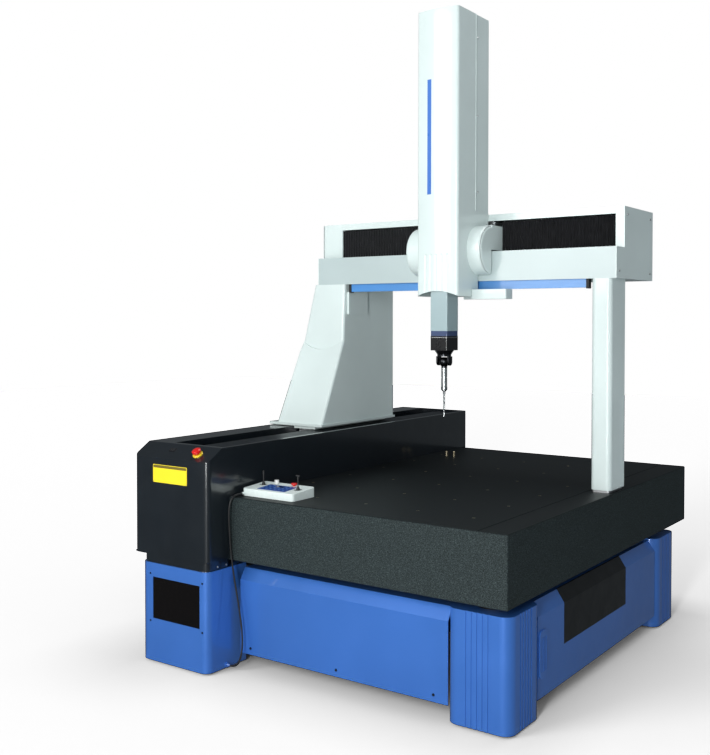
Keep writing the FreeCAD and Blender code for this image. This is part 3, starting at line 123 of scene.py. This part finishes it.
floor_mesh = bmesh.new()
bmesh.ops.create_grid(floor_mesh, x_segments=2, y_segments=2, size=14)
floor_data = bpy.data.meshes.new("studio_floor")
floor_mesh.to_mesh(floor_data)
floor_mesh.free()
floor = bpy.data.objects.new("studio_floor", floor_data)
bpy.context.scene.collection.objects.link(floor)
floor_paint = bpy.data.materials.new("studio_floor")
floor_paint.use_nodes = True
floor_shader = floor_paint.node_tree.nodes["Principled BSDF"]
floor_shader.inputs["Base Color"].default_value = (0.92, 0.93, 0.94, 1)
floor_shader.inputs["Roughness"].default_value = 0.6
floor_data.materials.append(floor_paint)
floor.is_shadow_catcher = True
floor.visible_glossy = False


# ---------------------------------------------------------------- joystick cord
# The box's own black cord: a limp 7 mm cable that drops over the table's front
# edge and goes back in through a gland on the cabinet's side.
cord_route = [(-0.369, -0.871, 0.701), (-0.371, -0.890, 0.701), (-0.377, -0.908, 0.697),
              (-0.383, -0.922, 0.682), (-0.387, -0.929, 0.654), (-0.388, -0.929, 0.605),
              (-0.388, -0.925, 0.545), (-0.387, -0.919, 0.475), (-0.382, -0.912, 0.400),
              (-0.372, -0.906, 0.325), (-0.360, -0.901, 0.250), (-0.349, -0.899, 0.180),
              (-0.342, -0.901, 0.118), (-0.343, -0.907, 0.066), (-0.354, -0.914, 0.032),
              (-0.373, -0.918, 0.020), (-0.391, -0.9195, 0.020)]
cord_width = 0.007

cord_curve = bpy.data.curves.new("joystick_cable", "CURVE")
cord_curve.dimensions = "3D"
cord_curve.bevel_depth = cord_width / 2
cord_curve.bevel_resolution = 4
cord_curve.resolution_u = 10
cord_line = cord_curve.splines.new("NURBS")
cord_line.points.add(len(cord_route) - 1)
for point, place in zip(cord_line.points, cord_route):
    point.co = (*place, 1)
cord_line.order_u = 3
cord_line.use_endpoint_u = True
cord = bpy.data.objects.new("joystick_cable", cord_curve)
bpy.context.scene.collection.objects.link(cord)


def finish_shader(name):
    """An empty finish: its material, node tree, shader and Object coordinates."""
    material = bpy.data.materials.new(name)
    material.use_nodes = True
    tree = material.node_tree
    coordinates = tree.nodes.new("ShaderNodeTexCoord")
    return material, tree, tree.nodes["Principled BSDF"], coordinates.outputs["Object"]


def grain(tree, source, scale, detail=3.0, stretch=None):
    """A noise pattern on the piece, stretched along an axis where the real one is drawn out."""
    if stretch:
        mapping = tree.nodes.new("ShaderNodeMapping")
        mapping.inputs["Scale"].default_value = stretch
        tree.links.new(source, mapping.inputs["Vector"])
        source = mapping.outputs["Vector"]
    noise = tree.nodes.new("ShaderNodeTexNoise")
    noise.inputs["Scale"].default_value = scale
    noise.inputs["Detail"].default_value = detail
    tree.links.new(source, noise.inputs["Vector"])
    return noise.outputs["Fac"]


def tones(tree, pattern, socket, stops):
    """Colours a pattern and feeds it to a socket. Stops are (place, colour)."""
    ramp = tree.nodes.new("ShaderNodeValToRGB")
    while len(ramp.color_ramp.elements) < len(stops):
        ramp.color_ramp.elements.new(0.5)
    for element, (place, colour) in zip(ramp.color_ramp.elements, stops):
        element.position = place
        element.color = (*colour, 1)
    tree.links.new(pattern, ramp.inputs["Fac"])
    tree.links.new(ramp.outputs["Color"], socket)
    return ramp


def spread(tree, pattern, socket, low, high):
    """Feeds a pattern to a number socket between two values."""
    fit = tree.nodes.new("ShaderNodeMapRange")
    fit.inputs["From Min"].default_value = 0.3
    fit.inputs["From Max"].default_value = 0.7
    fit.inputs["To Min"].default_value = low
    fit.inputs["To Max"].default_value = high
    tree.links.new(pattern, fit.inputs["Value"])
    tree.links.new(fit.outputs["Result"], socket)


def relief(tree, pattern, shader, depth, strength):
    """Raises the surface a little by a pattern."""
    bump = tree.nodes.new("ShaderNodeBump")
    bump.inputs["Strength"].default_value = strength
    bump.inputs["Distance"].default_value = depth
    tree.links.new(pattern, bump.inputs["Height"])
    tree.links.new(bump.outputs["Normal"], shader.inputs["Normal"])


def shade(colour, factor):
    return tuple(channel * factor for channel in colour)


def soft_plastic(name, colour, roughness, scale=900):
    """Moulded plastic or rubber with a fine spark-eroded grain."""
    material, tree, shader, place = finish_shader(name)
    tones(tree, grain(tree, place, scale / 9), shader.inputs["Base Color"],
          [(0.3, shade(colour, 0.96)), (0.7, shade(colour, 1.03))])
    spread(tree, grain(tree, place, scale / 14), shader.inputs["Roughness"],
           roughness - 0.06, roughness + 0.06)
    relief(tree, grain(tree, place, scale, 2.0), shader, 0.0002, 0.25)
    return material


cord_curve.materials.append(soft_plastic("cable_jacket", (0.012, 0.012, 0.013), 0.45))
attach(cord, "base")
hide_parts("joystick_cord")


def coat(name, material):
    """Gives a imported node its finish."""
    for place in nodes[name].material_slots:
        place.material = material


# ---------------------------------------------------------------- stand frame
# Square steel tube welded into a ring on four legs, powder coated black, on
# screw feet; rubber mounts carry the table.
def powder_coat(name, colour, roughness, sheen=0.0):
    """Baked powder coat: fine orange peel, dull, or with a clear top coat."""
    material, tree, shader, place = finish_shader(name)
    tones(tree, grain(tree, place, 3.5), shader.inputs["Base Color"],
          [(0.3, shade(colour, 0.85)), (0.7, shade(colour, 1.12))])
    spread(tree, grain(tree, place, 14), shader.inputs["Roughness"],
           roughness - 0.05, roughness + 0.07)
    relief(tree, grain(tree, place, 420, 2.0), shader, 0.0003, 0.3)
    shader.inputs["Specular IOR Level"].default_value = 0.3
    shader.inputs["Coat Weight"].default_value = sheen
    shader.inputs["Coat Roughness"].default_value = 0.14
    shader.inputs["Coat IOR"].default_value = 1.8
    return material


def turned_metal(name, colour, roughness, stretch=(1, 1, 12)):
    """Bare metal with the fine lines that machining leaves."""
    material, tree, shader, place = finish_shader(name)
    shader.inputs["Metallic"].default_value = 1.0
    lines = grain(tree, place, 90, 4.0, stretch)
    tones(tree, grain(tree, place, 8), shader.inputs["Base Color"],
          [(0.3, shade(colour, 0.86)), (0.7, shade(colour, 1.08))])
    spread(tree, lines, shader.inputs["Roughness"], roughness - 0.08, roughness + 0.1)
    relief(tree, lines, shader, 0.0001, 0.35)
    return material


black_coat = powder_coat("frame_black_coat", (0.022, 0.023, 0.026), 0.5)
coat("stand_frame", black_coat)
coat("leveling_feet", turned_metal("zinc_plated_steel", (0.42, 0.42, 0.41), 0.34, (12, 12, 1)))
coat("vibration_mounts", soft_plastic("mount_rubber", (0.02, 0.02, 0.02), 0.7))


# ---------------------------------------------------------------- stand covers
# Folded sheet covers in glossy blue enamel: fluted corner posts, long panels with
# a rolled top edge and the front cabinet. A thin clear gloss lies over the colour.
def enamel(name, colour, roughness, gloss, peel=0.12, flake=0.0):
    """Sprayed enamel: gentle colour drift, orange peel and a clear gloss on top."""
    material, tree, shader, place = finish_shader(name)
    tones(tree, grain(tree, place, 2.2), shader.inputs["Base Color"],
          [(0.3, shade(colour, 0.94)), (0.7, shade(colour, 1.05))])
    spread(tree, grain(tree, place, 9), shader.inputs["Roughness"],
           roughness - 0.04, roughness + 0.05)
    relief(tree, grain(tree, place, 260, 1.0), shader, 0.0002, peel)
    shader.inputs["Coat Weight"].default_value = gloss
    shader.inputs["Coat Roughness"].default_value = 0.07
    shader.inputs["Coat IOR"].default_value = 1.8
    shader.inputs["Metallic"].default_value = flake
    return material


stand_blue = enamel("stand_blue_enamel", (0.042, 0.165, 0.56), 0.38, 1.0, 0.12, 0.3)
for name in ("corner_posts", "front_panel", "right_panel", "rear_panels", "cabinet_shell"):
    coat(name, stand_blue)
coat("vent_panel", powder_coat("vent_black_coat", (0.004, 0.004, 0.005), 0.4, 0.3))


def fit_piece(name, shape, material, body):
    """Turns a finished shape into a piece that rides on one body of the machine."""
    data = bpy.data.meshes.new(name)
    shape.to_mesh(data)
    shape.free()
    data.materials.append(material)
    piece = bpy.data.objects.new(name, data)
    bpy.context.scene.collection.objects.link(piece)
    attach(piece, body)
    return piece


def button_screws(name, places, facing, radius, body, material):
    """Socket button heads at the given places, all facing one way."""
    heads = bmesh.new()
    turn_to = Vector(facing).to_track_quat("Z", "Y").to_matrix().to_4x4()
    for place in places:
        made = bmesh.ops.create_cone(heads, cap_ends=True, segments=16, radius1=radius,
                                     radius2=radius * 0.72, depth=radius * 0.7)
        caps = [f for f in {f for v in made["verts"] for f in v.link_faces} if len(f.verts) == 16]
        top = max(caps, key=lambda f: f.calc_center_median().z)
        bmesh.ops.inset_region(heads, faces=[top], thickness=radius * 0.3)
        sunk = bmesh.ops.extrude_face_region(heads, geom=[top])
        floor_verts = [v for v in sunk["geom"] if isinstance(v, bmesh.types.BMVert)]
        bmesh.ops.translate(heads, vec=(0, 0, -radius * 0.45), verts=floor_verts)
        bmesh.ops.delete(heads, geom=[top], context="FACES_ONLY")
        whole = set(made["verts"]) | set(floor_verts)
        whole |= {w for v in made["verts"] for e in v.link_edges for w in e.verts}
        whole = [v for v in whole if v.is_valid]
        bmesh.ops.transform(heads, matrix=Matrix.Translation(Vector(place)) @ turn_to
                            @ Matrix.Translation((0, 0, radius * 0.3)), verts=whole)
    bmesh.ops.recalc_face_normals(heads, faces=heads.faces)
    fit_piece(name, heads, material, body)


black_oxide = turned_metal("black_oxide_steel", (0.05, 0.05, 0.055), 0.42, (1, 1, 1))
bright_steel = turned_metal("bright_screw_steel", (0.60, 0.61, 0.62), 0.3, (1, 1, 1))
cabinet_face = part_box("cabinet_shell")[0][1]
button_screws("window_screws", [(x, cabinet_face, z) for x in (-0.722, -0.435)
                                for z in (0.170, 0.363)],
              (0, -1, 0), 0.004, "base", black_oxide)
panel_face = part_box("front_panel")[0][1]
panel_screw_height = 0.085
button_screws("front_panel_screws",
              [(x, panel_face, panel_screw_height) for x in (-0.33, 0.09, 0.51)],
              (0, -1, 0), 0.0055, "base", black_oxide)


def smoked_pane(name):
    """Dark tinted acrylic: clear in depth, with faint wipe marks in its gloss."""
    material, tree, shader, place = finish_shader(name)
    shader.inputs["Base Color"].default_value = (0.003, 0.002, 0.002, 1)
    shader.inputs["Transmission Weight"].default_value = 0.2
    shader.inputs["IOR"].default_value = 1.49
    spread(tree, grain(tree, place, 12, 3.0, (1, 1, 5)), shader.inputs["Roughness"], 0.04, 0.12)
    return material


coat("cabinet_window", smoked_pane("smoked_acrylic"))
coat("controller_unit", powder_coat("controller_grey_coat", (0.09, 0.10, 0.12), 0.5))


# ---------------------------------------------------------------- granite table
# One block of fine dark gabbro. The top is lapped to a dull polish, the sides are
# honed and show their pale flecks.
def gabbro(name):
    """Fine dark stone: pale flecks on the honed sides, hardly any on the lapped top."""
    material, tree, shader, place = finish_shader(name)
    flecks = tree.nodes.new("ShaderNodeTexVoronoi")
    flecks.inputs["Scale"].default_value = 300
    tree.links.new(place, flecks.inputs["Vector"])
    crystals = grain(tree, place, 230, 5.0)
    mixed = tree.nodes.new("ShaderNodeMath")
    mixed.operation = "MULTIPLY"
    tree.links.new(crystals, mixed.inputs[0])
    tree.links.new(flecks.outputs["Distance"], mixed.inputs[1])
    facing = tree.nodes.new("ShaderNodeNewGeometry")
    parts = tree.nodes.new("ShaderNodeSeparateXYZ")
    tree.links.new(facing.outputs["True Normal"], parts.inputs["Vector"])
    ramps = []
    for stops in (((0.10, (0.002, 0.004, 0.0045)), (0.50, (0.046, 0.066, 0.068))),
                  ((0.1, (0.001, 0.0025, 0.003)), (0.5, (0.005, 0.009, 0.011)))):
        ramp = tree.nodes.new("ShaderNodeValToRGB")
        for element, (at, colour) in zip(ramp.color_ramp.elements, stops):
            element.position = at
            element.color = (*colour, 1)
        tree.links.new(mixed.outputs["Value"], ramp.inputs["Fac"])
        ramps.append(ramp)
    honed, lapped = ramps
    stone = tree.nodes.new("ShaderNodeMix")
    stone.data_type = "RGBA"
    tree.links.new(parts.outputs["Z"], stone.inputs["Factor"])
    tree.links.new(honed.outputs["Color"], stone.inputs["A"])
    tree.links.new(lapped.outputs["Color"], stone.inputs["B"])
    tree.links.new(stone.outputs["Result"], shader.inputs["Base Color"])
    polish = tree.nodes.new("ShaderNodeMapRange")
    polish.inputs["To Min"].default_value = 0.62
    polish.inputs["To Max"].default_value = 0.5
    tree.links.new(parts.outputs["Z"], polish.inputs["Value"])
    tree.links.new(polish.outputs["Result"], shader.inputs["Roughness"])
    shader.inputs["Specular IOR Level"].default_value = 0.25
    relief(tree, crystals, shader, 0.0003, 0.3)
    return material


dark_stone = gabbro("dark_gabbro")
coat("granite_table", dark_stone)
coat("y_guide_rail", dark_stone)
coat("table_inserts", turned_metal("turned_brass", (0.42, 0.36, 0.25), 0.35))


# ---------------------------------------------------------------- guide housing
# Long sheet-metal housing over the driven guide, in satin blue-black paint with a
# finely wrinkled surface, and a steel strip beside its slot.
housing_paint = powder_coat("housing_blue_black", (0.004, 0.007, 0.011), 0.4, 0.9)
for name in ("housing_nose", "housing_right_cover", "housing_left_cover", "housing_rear_cover"):
    coat(name, housing_paint)
coat("slot_strip", powder_coat("strip_dark_paint", (0.006, 0.009, 0.013), 0.4))
aluminium = turned_metal("milled_aluminium", (0.62, 0.63, 0.65), 0.36, (1, 14, 1))
for name in ("y_belt_drive", "y_saddle", "y_air_bearings", "leg_column", "carriage_frame",
             "carriage_air_bearings"):
    coat(name, aluminium)
coat("y_drive_belt", soft_plastic("belt_rubber", (0.015, 0.015, 0.015), 0.65))
coat("z_drive_motor", black_coat)


# ---------------------------------------------------------------- safety plate
# Blank yellow enamelled plate with a darker head band, riveted to the nose.
plate_low, plate_high = (-0.703, 0.738), (-0.515, 0.810)
plate_thick, band_thick = 0.0010, 0.0003
nose_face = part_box("housing_nose")[0][1]


def thin_plate(name, low, high, front, thick, material, body):
    """A flat plate standing on a face that looks to the front, its edges broken."""
    plate = bmesh.new()
    bmesh.ops.create_cube(plate, size=1)
    bmesh.ops.scale(plate, vec=(high[0] - low[0], thick, high[1] - low[1]), verts=plate.verts)
    bmesh.ops.translate(plate, vec=((low[0] + high[0]) / 2, front - thick / 2,
                                    (low[1] + high[1]) / 2), verts=plate.verts)
    upright = [e for e in plate.edges if abs(e.verts[0].co.y - e.verts[1].co.y) > thick / 2]
    bmesh.ops.bevel(plate, geom=upright, offset=0.003, affect="EDGES", segments=4, profile=0.5,
                    material=-1)
    fit_piece(name, plate, material, body)


skirt_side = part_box("cabinet_shell")[1][0] - 0.006
button_screws("skirt_screws", [(skirt_side, y, 0.425) for y in (-0.985, -0.935)], (1, 0, 0),
              0.0042, "base", bright_steel)
plate_yellow = enamel("plate_yellow_enamel", (0.86, 0.66, 0.02), 0.3, 0.3)
thin_plate("yellow_plate", plate_low, plate_high, nose_face, plate_thick, plate_yellow,
           "base")
thin_plate("yellow_plate_band", (-0.701, 0.797), (-0.517, 0.808), nose_face - plate_thick,
           band_thick, enamel("plate_band_enamel", (0.16, 0.12, 0.02), 0.35, 0.2),
           "base")
button_screws("plate_rivets", [(x, nose_face - plate_thick, 0.742) for x in (-0.699, -0.519)],
              (0, -1, 0), 0.0022, "base", bright_steel)


# ---------------------------------------------------------------- operating controls
# Emergency stop: a red mushroom head on a yellow collar, and a rocker for power.
def glossy_plastic(name, colour, roughness=0.22):
    """Injection-moulded plastic with a polished tool finish."""
    material, tree, shader, place = finish_shader(name)
    tones(tree, grain(tree, place, 60), shader.inputs["Base Color"],
          [(0.3, shade(colour, 0.93)), (0.7, shade(colour, 1.05))])
    spread(tree, grain(tree, place, 140), shader.inputs["Roughness"],
           roughness - 0.05, roughness + 0.08)
    shader.inputs["Coat Weight"].default_value = 0.3
    return material


coat("estop_collar", glossy_plastic("collar_yellow", (0.85, 0.60, 0.03)))
stop_red = glossy_plastic("stop_red", (0.62, 0.015, 0.012))
coat("estop_button", stop_red)
coat("power_switch", glossy_plastic("rocker_black", (0.015, 0.015, 0.017)))


# ---------------------------------------------------------------- bridge
# White enamelled covers over a hollow guide beam: leg, column, lower and upper
# beam boxes with end caps, and a blue strip under the beam.
cover_white = enamel("cover_white_enamel", (0.68, 0.76, 0.745), 0.38, 0.3, 0.08)
for name in ("leg_cover", "leg_foot", "right_column", "beam_top_cover", "beam_end_caps",
             "z_front_cover", "z_rear_cover", "carriage_cover"):
    coat(name, cover_white)
# The lower beam box is painted greyer than the white covers. This is partly its own slightly greyer tone and
# partly painted shade standing in for the shadow and dark reflection on its front.
coat("beam_lower_cover", enamel("beam_grey_enamel_painted_shade", (0.47, 0.55, 0.55), 0.36, 0.3, 0.08))
coat("beam_blue_strip", enamel("strip_blue_enamel", (0.07, 0.26, 0.62), 0.32, 0.25))
strip_low, strip_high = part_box("beam_blue_strip")
stop_length = 0.013
stops = bmesh.new()
for x in (strip_low[0] - stop_length / 2, strip_high[0] + stop_length / 2):
    made = bmesh.ops.create_cube(stops, size=1)["verts"]
    bmesh.ops.scale(stops, vec=(stop_length, 0.026, strip_high[2] - strip_low[2] + 0.004),
                    verts=made)
    bmesh.ops.translate(stops, vec=(x, (strip_low[1] + strip_high[1]) / 2,
                                    (strip_high[2] + strip_low[2] - 0.004) / 2), verts=made)
bmesh.ops.bevel(stops, geom=list(stops.edges), offset=0.0015, affect="EDGES", segments=2,
                profile=0.5, material=-1)
fit_piece("strip_end_stops", stops, soft_plastic("stop_rubber", (0.012, 0.012, 0.013), 0.6),
          "bridge")
cap_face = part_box("beam_end_caps")[1][0]
button_screws("end_cap_screws", [(cap_face, y, z) for y, z in ((0.075, 1.592), (0.440, 1.592),
                                                               (0.165, 1.826), (0.440, 1.826))],
              (1, 0, 0), 0.005, "bridge", bright_steel)
coat("x_beam", powder_coat("beam_ceramic_coat", (0.30, 0.33, 0.35), 0.38))


# ---------------------------------------------------------------- bellows
# Pleated black cloth on each side of the carriage. It closes the opening behind
# which the guide beam runs, and opens and folds as the carriage travels.
pleat = 0.0147
fold_depth = 0.009
pleat_front, bellows_low, bellows_high = 0.1415, 1.6975, 1.8255


def pleated_cloth(name, left, right):
    count = int(round((right - left) / pleat))
    cloth = bmesh.new()
    bmesh.ops.create_grid(cloth, x_segments=2 * count, y_segments=4, size=0.5)
    bmesh.ops.transform(cloth, matrix=Matrix.Rotation(math.pi / 2, 4, "X"), verts=cloth.verts)
    bmesh.ops.scale(cloth, vec=(right - left, 1, bellows_high - bellows_low), verts=cloth.verts)
    bmesh.ops.translate(cloth, vec=((left + right) / 2, pleat_front,
                                    (bellows_low + bellows_high) / 2), verts=cloth.verts)
    step = (right - left) / (2 * count)
    valleys = [v for v in cloth.verts if int(round((v.co.x - left) / step)) % 2]
    bmesh.ops.translate(cloth, vec=(0, fold_depth, 0), verts=valleys)
    data = bpy.data.meshes.new(name)
    cloth.to_mesh(data)
    cloth.free()
    piece = bpy.data.objects.new(name, data)
    bpy.context.scene.collection.objects.link(piece)
    return piece


def bellows_cloth(name):
    """Coated cloth: a tight weave under a dull black film."""
    material, tree, shader, place = finish_shader(name)
    weave = tree.nodes.new("ShaderNodeTexWave")
    weave.inputs["Scale"].default_value = 320
    weave.bands_direction = "Z"
    tree.links.new(place, weave.inputs["Vector"])
    tones(tree, grain(tree, place, 40), shader.inputs["Base Color"],
          [(0.3, (0.005, 0.005, 0.006)), (0.7, (0.012, 0.012, 0.014))])
    spread(tree, grain(tree, place, 25), shader.inputs["Roughness"], 0.28, 0.42)
    relief(tree, weave.outputs["Fac"], shader, 0.0002, 0.3)
    return material


black_cloth = bellows_cloth("bellows_cloth")
wall_thick = 0.0012
for name, node, left, right, start_body, end_body in (
        ("left_bellows", "bellows_left", -0.597, -0.112, "bridge", "carriage"),
        ("right_bellows", "bellows_right", 0.265, 0.782, "carriage", "bridge")):
    cloth = pleated_cloth(name, left, right)
    cloth.data.materials.append(black_cloth)
    thick = cloth.modifiers.new("cloth_thickness", "SOLIDIFY")
    thick.thickness = wall_thick
    thick.offset = 0
    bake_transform(cloth, start_body, end_body, start=(left, pleat_front, 1.76),
             end=(right, pleat_front, 1.76))
    weights = cloth.data.attributes["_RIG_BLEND"].data
    for vertex, weight in zip(cloth.data.vertices, weights):
        weight.value = min(1.0, max(0.0, (vertex.co.x - left) / (right - left)))
    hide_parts(node)


# ---------------------------------------------------------------- carriage trim
# A bright seam bead where the two halves of the tall cover meet, small screws down
# the rear half, and a plain blue accent line on the curved face.
front_low, front_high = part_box("z_front_cover")
seam_y = front_high[1]
for name, x in (("seam_bead_left", front_low[0]), ("seam_bead_right", front_high[0])):
    bead = bmesh.new()
    bmesh.ops.create_cone(bead, cap_ends=True, segments=12, radius1=0.0022, radius2=0.0022,
                          depth=front_high[2] - 1.868)
    bmesh.ops.translate(bead, vec=(x, seam_y, (front_high[2] + 1.868) / 2), verts=bead.verts)
    fit_piece(name, bead, cover_white, "carriage")
rear_low, rear_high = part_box("z_rear_cover")
for side, x, way in (("right", rear_high[0], 1), ("left", rear_low[0], -1)):
    button_screws("rear_cover_screws_" + side,
                  [(x, seam_y + 0.022, z) for z in (1.95, 2.28, 2.62)], (way, 0, 0), 0.0045,
                  "carriage", bright_steel)

accent_low, accent_high, accent_width = 1.93, 2.42, 0.020
face_radius, face_middle = 0.3778, (front_low[0] + front_high[0]) / 2
accent_x = face_middle - 0.034
accent_depth = front_low[1] + face_radius
start_turn = math.asin((accent_x - accent_width / 2 - face_middle) / (face_radius + 0.0004))
sweep = accent_width / face_radius
accent = bmesh.new()
ends = [accent.verts.new((face_middle, accent_depth - face_radius - 0.0004, z))
        for z in (accent_low, accent_high)]
edge = accent.edges.new(ends)
bmesh.ops.rotate(accent, cent=(face_middle, accent_depth, 0),
                 matrix=Matrix.Rotation(start_turn, 3, "Z"), verts=accent.verts)
bmesh.ops.spin(accent, geom=list(accent.verts) + [edge], cent=(face_middle, accent_depth, 0),
               axis=(0, 0, 1), angle=sweep, steps=4)
bmesh.ops.recalc_face_normals(accent, faces=accent.faces)
accent_piece = fit_piece("accent_line", accent,
                         enamel("accent_blue_film", (0.05, 0.17, 0.55), 0.3, 0.2), "carriage")
film = accent_piece.modifiers.new("film_thickness", "SOLIDIFY")
film.thickness = 0.0003
film.offset = 0


# ---------------------------------------------------------------- vertical ram and probe
# Ground ceramic-coated ram, a navy collar, the black motorised head with its two
# turning axes, and a slim probe with a steel stylus.
coat("z_ram", enamel("ram_grey_ceramic", (0.34, 0.44, 0.46), 0.3, 0.2, 0.05))
coat("ram_collar", enamel("collar_navy", (0.035, 0.06, 0.15), 0.32, 0.2))
coat("probe_head_body", powder_coat("head_black_satin", (0.004, 0.004, 0.005), 0.3, 0.4))
head_low, head_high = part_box("probe_head_body")
band_height = 0.0022
band = bmesh.new()
bmesh.ops.create_cube(band, size=1)
bmesh.ops.scale(band, vec=(head_high[0] - head_low[0] + 0.0012, head_high[1] - head_low[1] + 0.0012,
                           band_height), verts=band.verts)
bmesh.ops.translate(band, vec=((head_low[0] + head_high[0]) / 2, (head_low[1] + head_high[1]) / 2,
                               head_high[2] - 0.006), verts=band.verts)
uprights = [e for e in band.edges if abs(e.verts[0].co.z - e.verts[1].co.z) > band_height / 2]
bmesh.ops.bevel(band, geom=uprights, offset=0.0085, affect="EDGES", segments=8, profile=0.5,
                material=-1)
fit_piece("head_band", band, bright_steel, "ram")
dark_anodised = turned_metal("dark_anodised", (0.05, 0.052, 0.058), 0.3)
coat("head_turret", dark_anodised)
coat("head_knuckle", dark_anodised)
coat("probe_body", turned_metal("probe_steel", (0.62, 0.65, 0.66), 0.28, (1, 1, 30)))
coat("stylus", turned_metal("stylus_steel", (0.66, 0.67, 0.68), 0.24))


# ---------------------------------------------------------------- joystick box
# Two-piece moulded box with a blue membrane keypad, two joysticks, a speed knob
# and its own stop button.
box_white = soft_plastic("box_white_plastic", (0.72, 0.79, 0.77), 0.4, 700)
coat("joystick_lower_shell", box_white)
coat("joystick_upper_shell", box_white)
coat("keypad", soft_plastic("keypad_blue", (0.015, 0.06, 0.26), 0.4))


def keypad_film(name, places, size, height, material):
    """Flat printed tiles of one size on the keypad, laid along its slope."""
    tiles = bmesh.new()
    for x, y in places:
        made = bmesh.ops.create_cube(tiles, size=1)["verts"]
        bmesh.ops.scale(tiles, vec=(*size, film_thick), verts=made)
        bmesh.ops.translate(tiles, vec=(x, y, height + film_thick / 2), verts=made)
    bmesh.ops.rotate(tiles, cent=(0, 0, 0), matrix=Matrix.Rotation(pad_tilt, 3, "X"),
                     verts=tiles.verts)
    bmesh.ops.translate(tiles, vec=pad_corner, verts=tiles.verts)
    fit_piece(name, tiles, material, "base")


pad_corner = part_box("keypad")[0]
pad_tilt = math.atan2(0.010, 0.145)
film_thick = 0.0004
key_columns, key_rows, column_pitch, row_pitch = 6, 3, 0.021, 0.024
key_places = [(0.016 + column * column_pitch, 0.0145 + row * row_pitch)
              for column in range(key_columns) for row in range(key_rows)
              if row < 2 or column not in (2, 3)]
keypad_film("key_tops", key_places, (0.010, 0.009), 0.0026,
            soft_plastic("key_pale_blue", (0.07, 0.17, 0.42), 0.45))
keypad_film("keypad_display", [(0.016 + 2.5 * column_pitch, 0.0145 + 2 * row_pitch)],
            (0.034, 0.014), 0.0012, glossy_plastic("display_black", (0.006, 0.007, 0.008), 0.08))
coat("speed_knob", glossy_plastic("knob_white", (0.75, 0.75, 0.72)))
coat("box_stop_button", stop_red)
stick_rubber = soft_plastic("stick_rubber", (0.015, 0.015, 0.016), 0.55)
coat("left_stick", stick_rubber)
coat("right_stick", stick_rubber)
ring_steel = turned_metal("ring_steel", (0.55, 0.55, 0.56), 0.3)
coat("left_stick_ring", ring_steel)
coat("right_stick_ring", ring_steel)
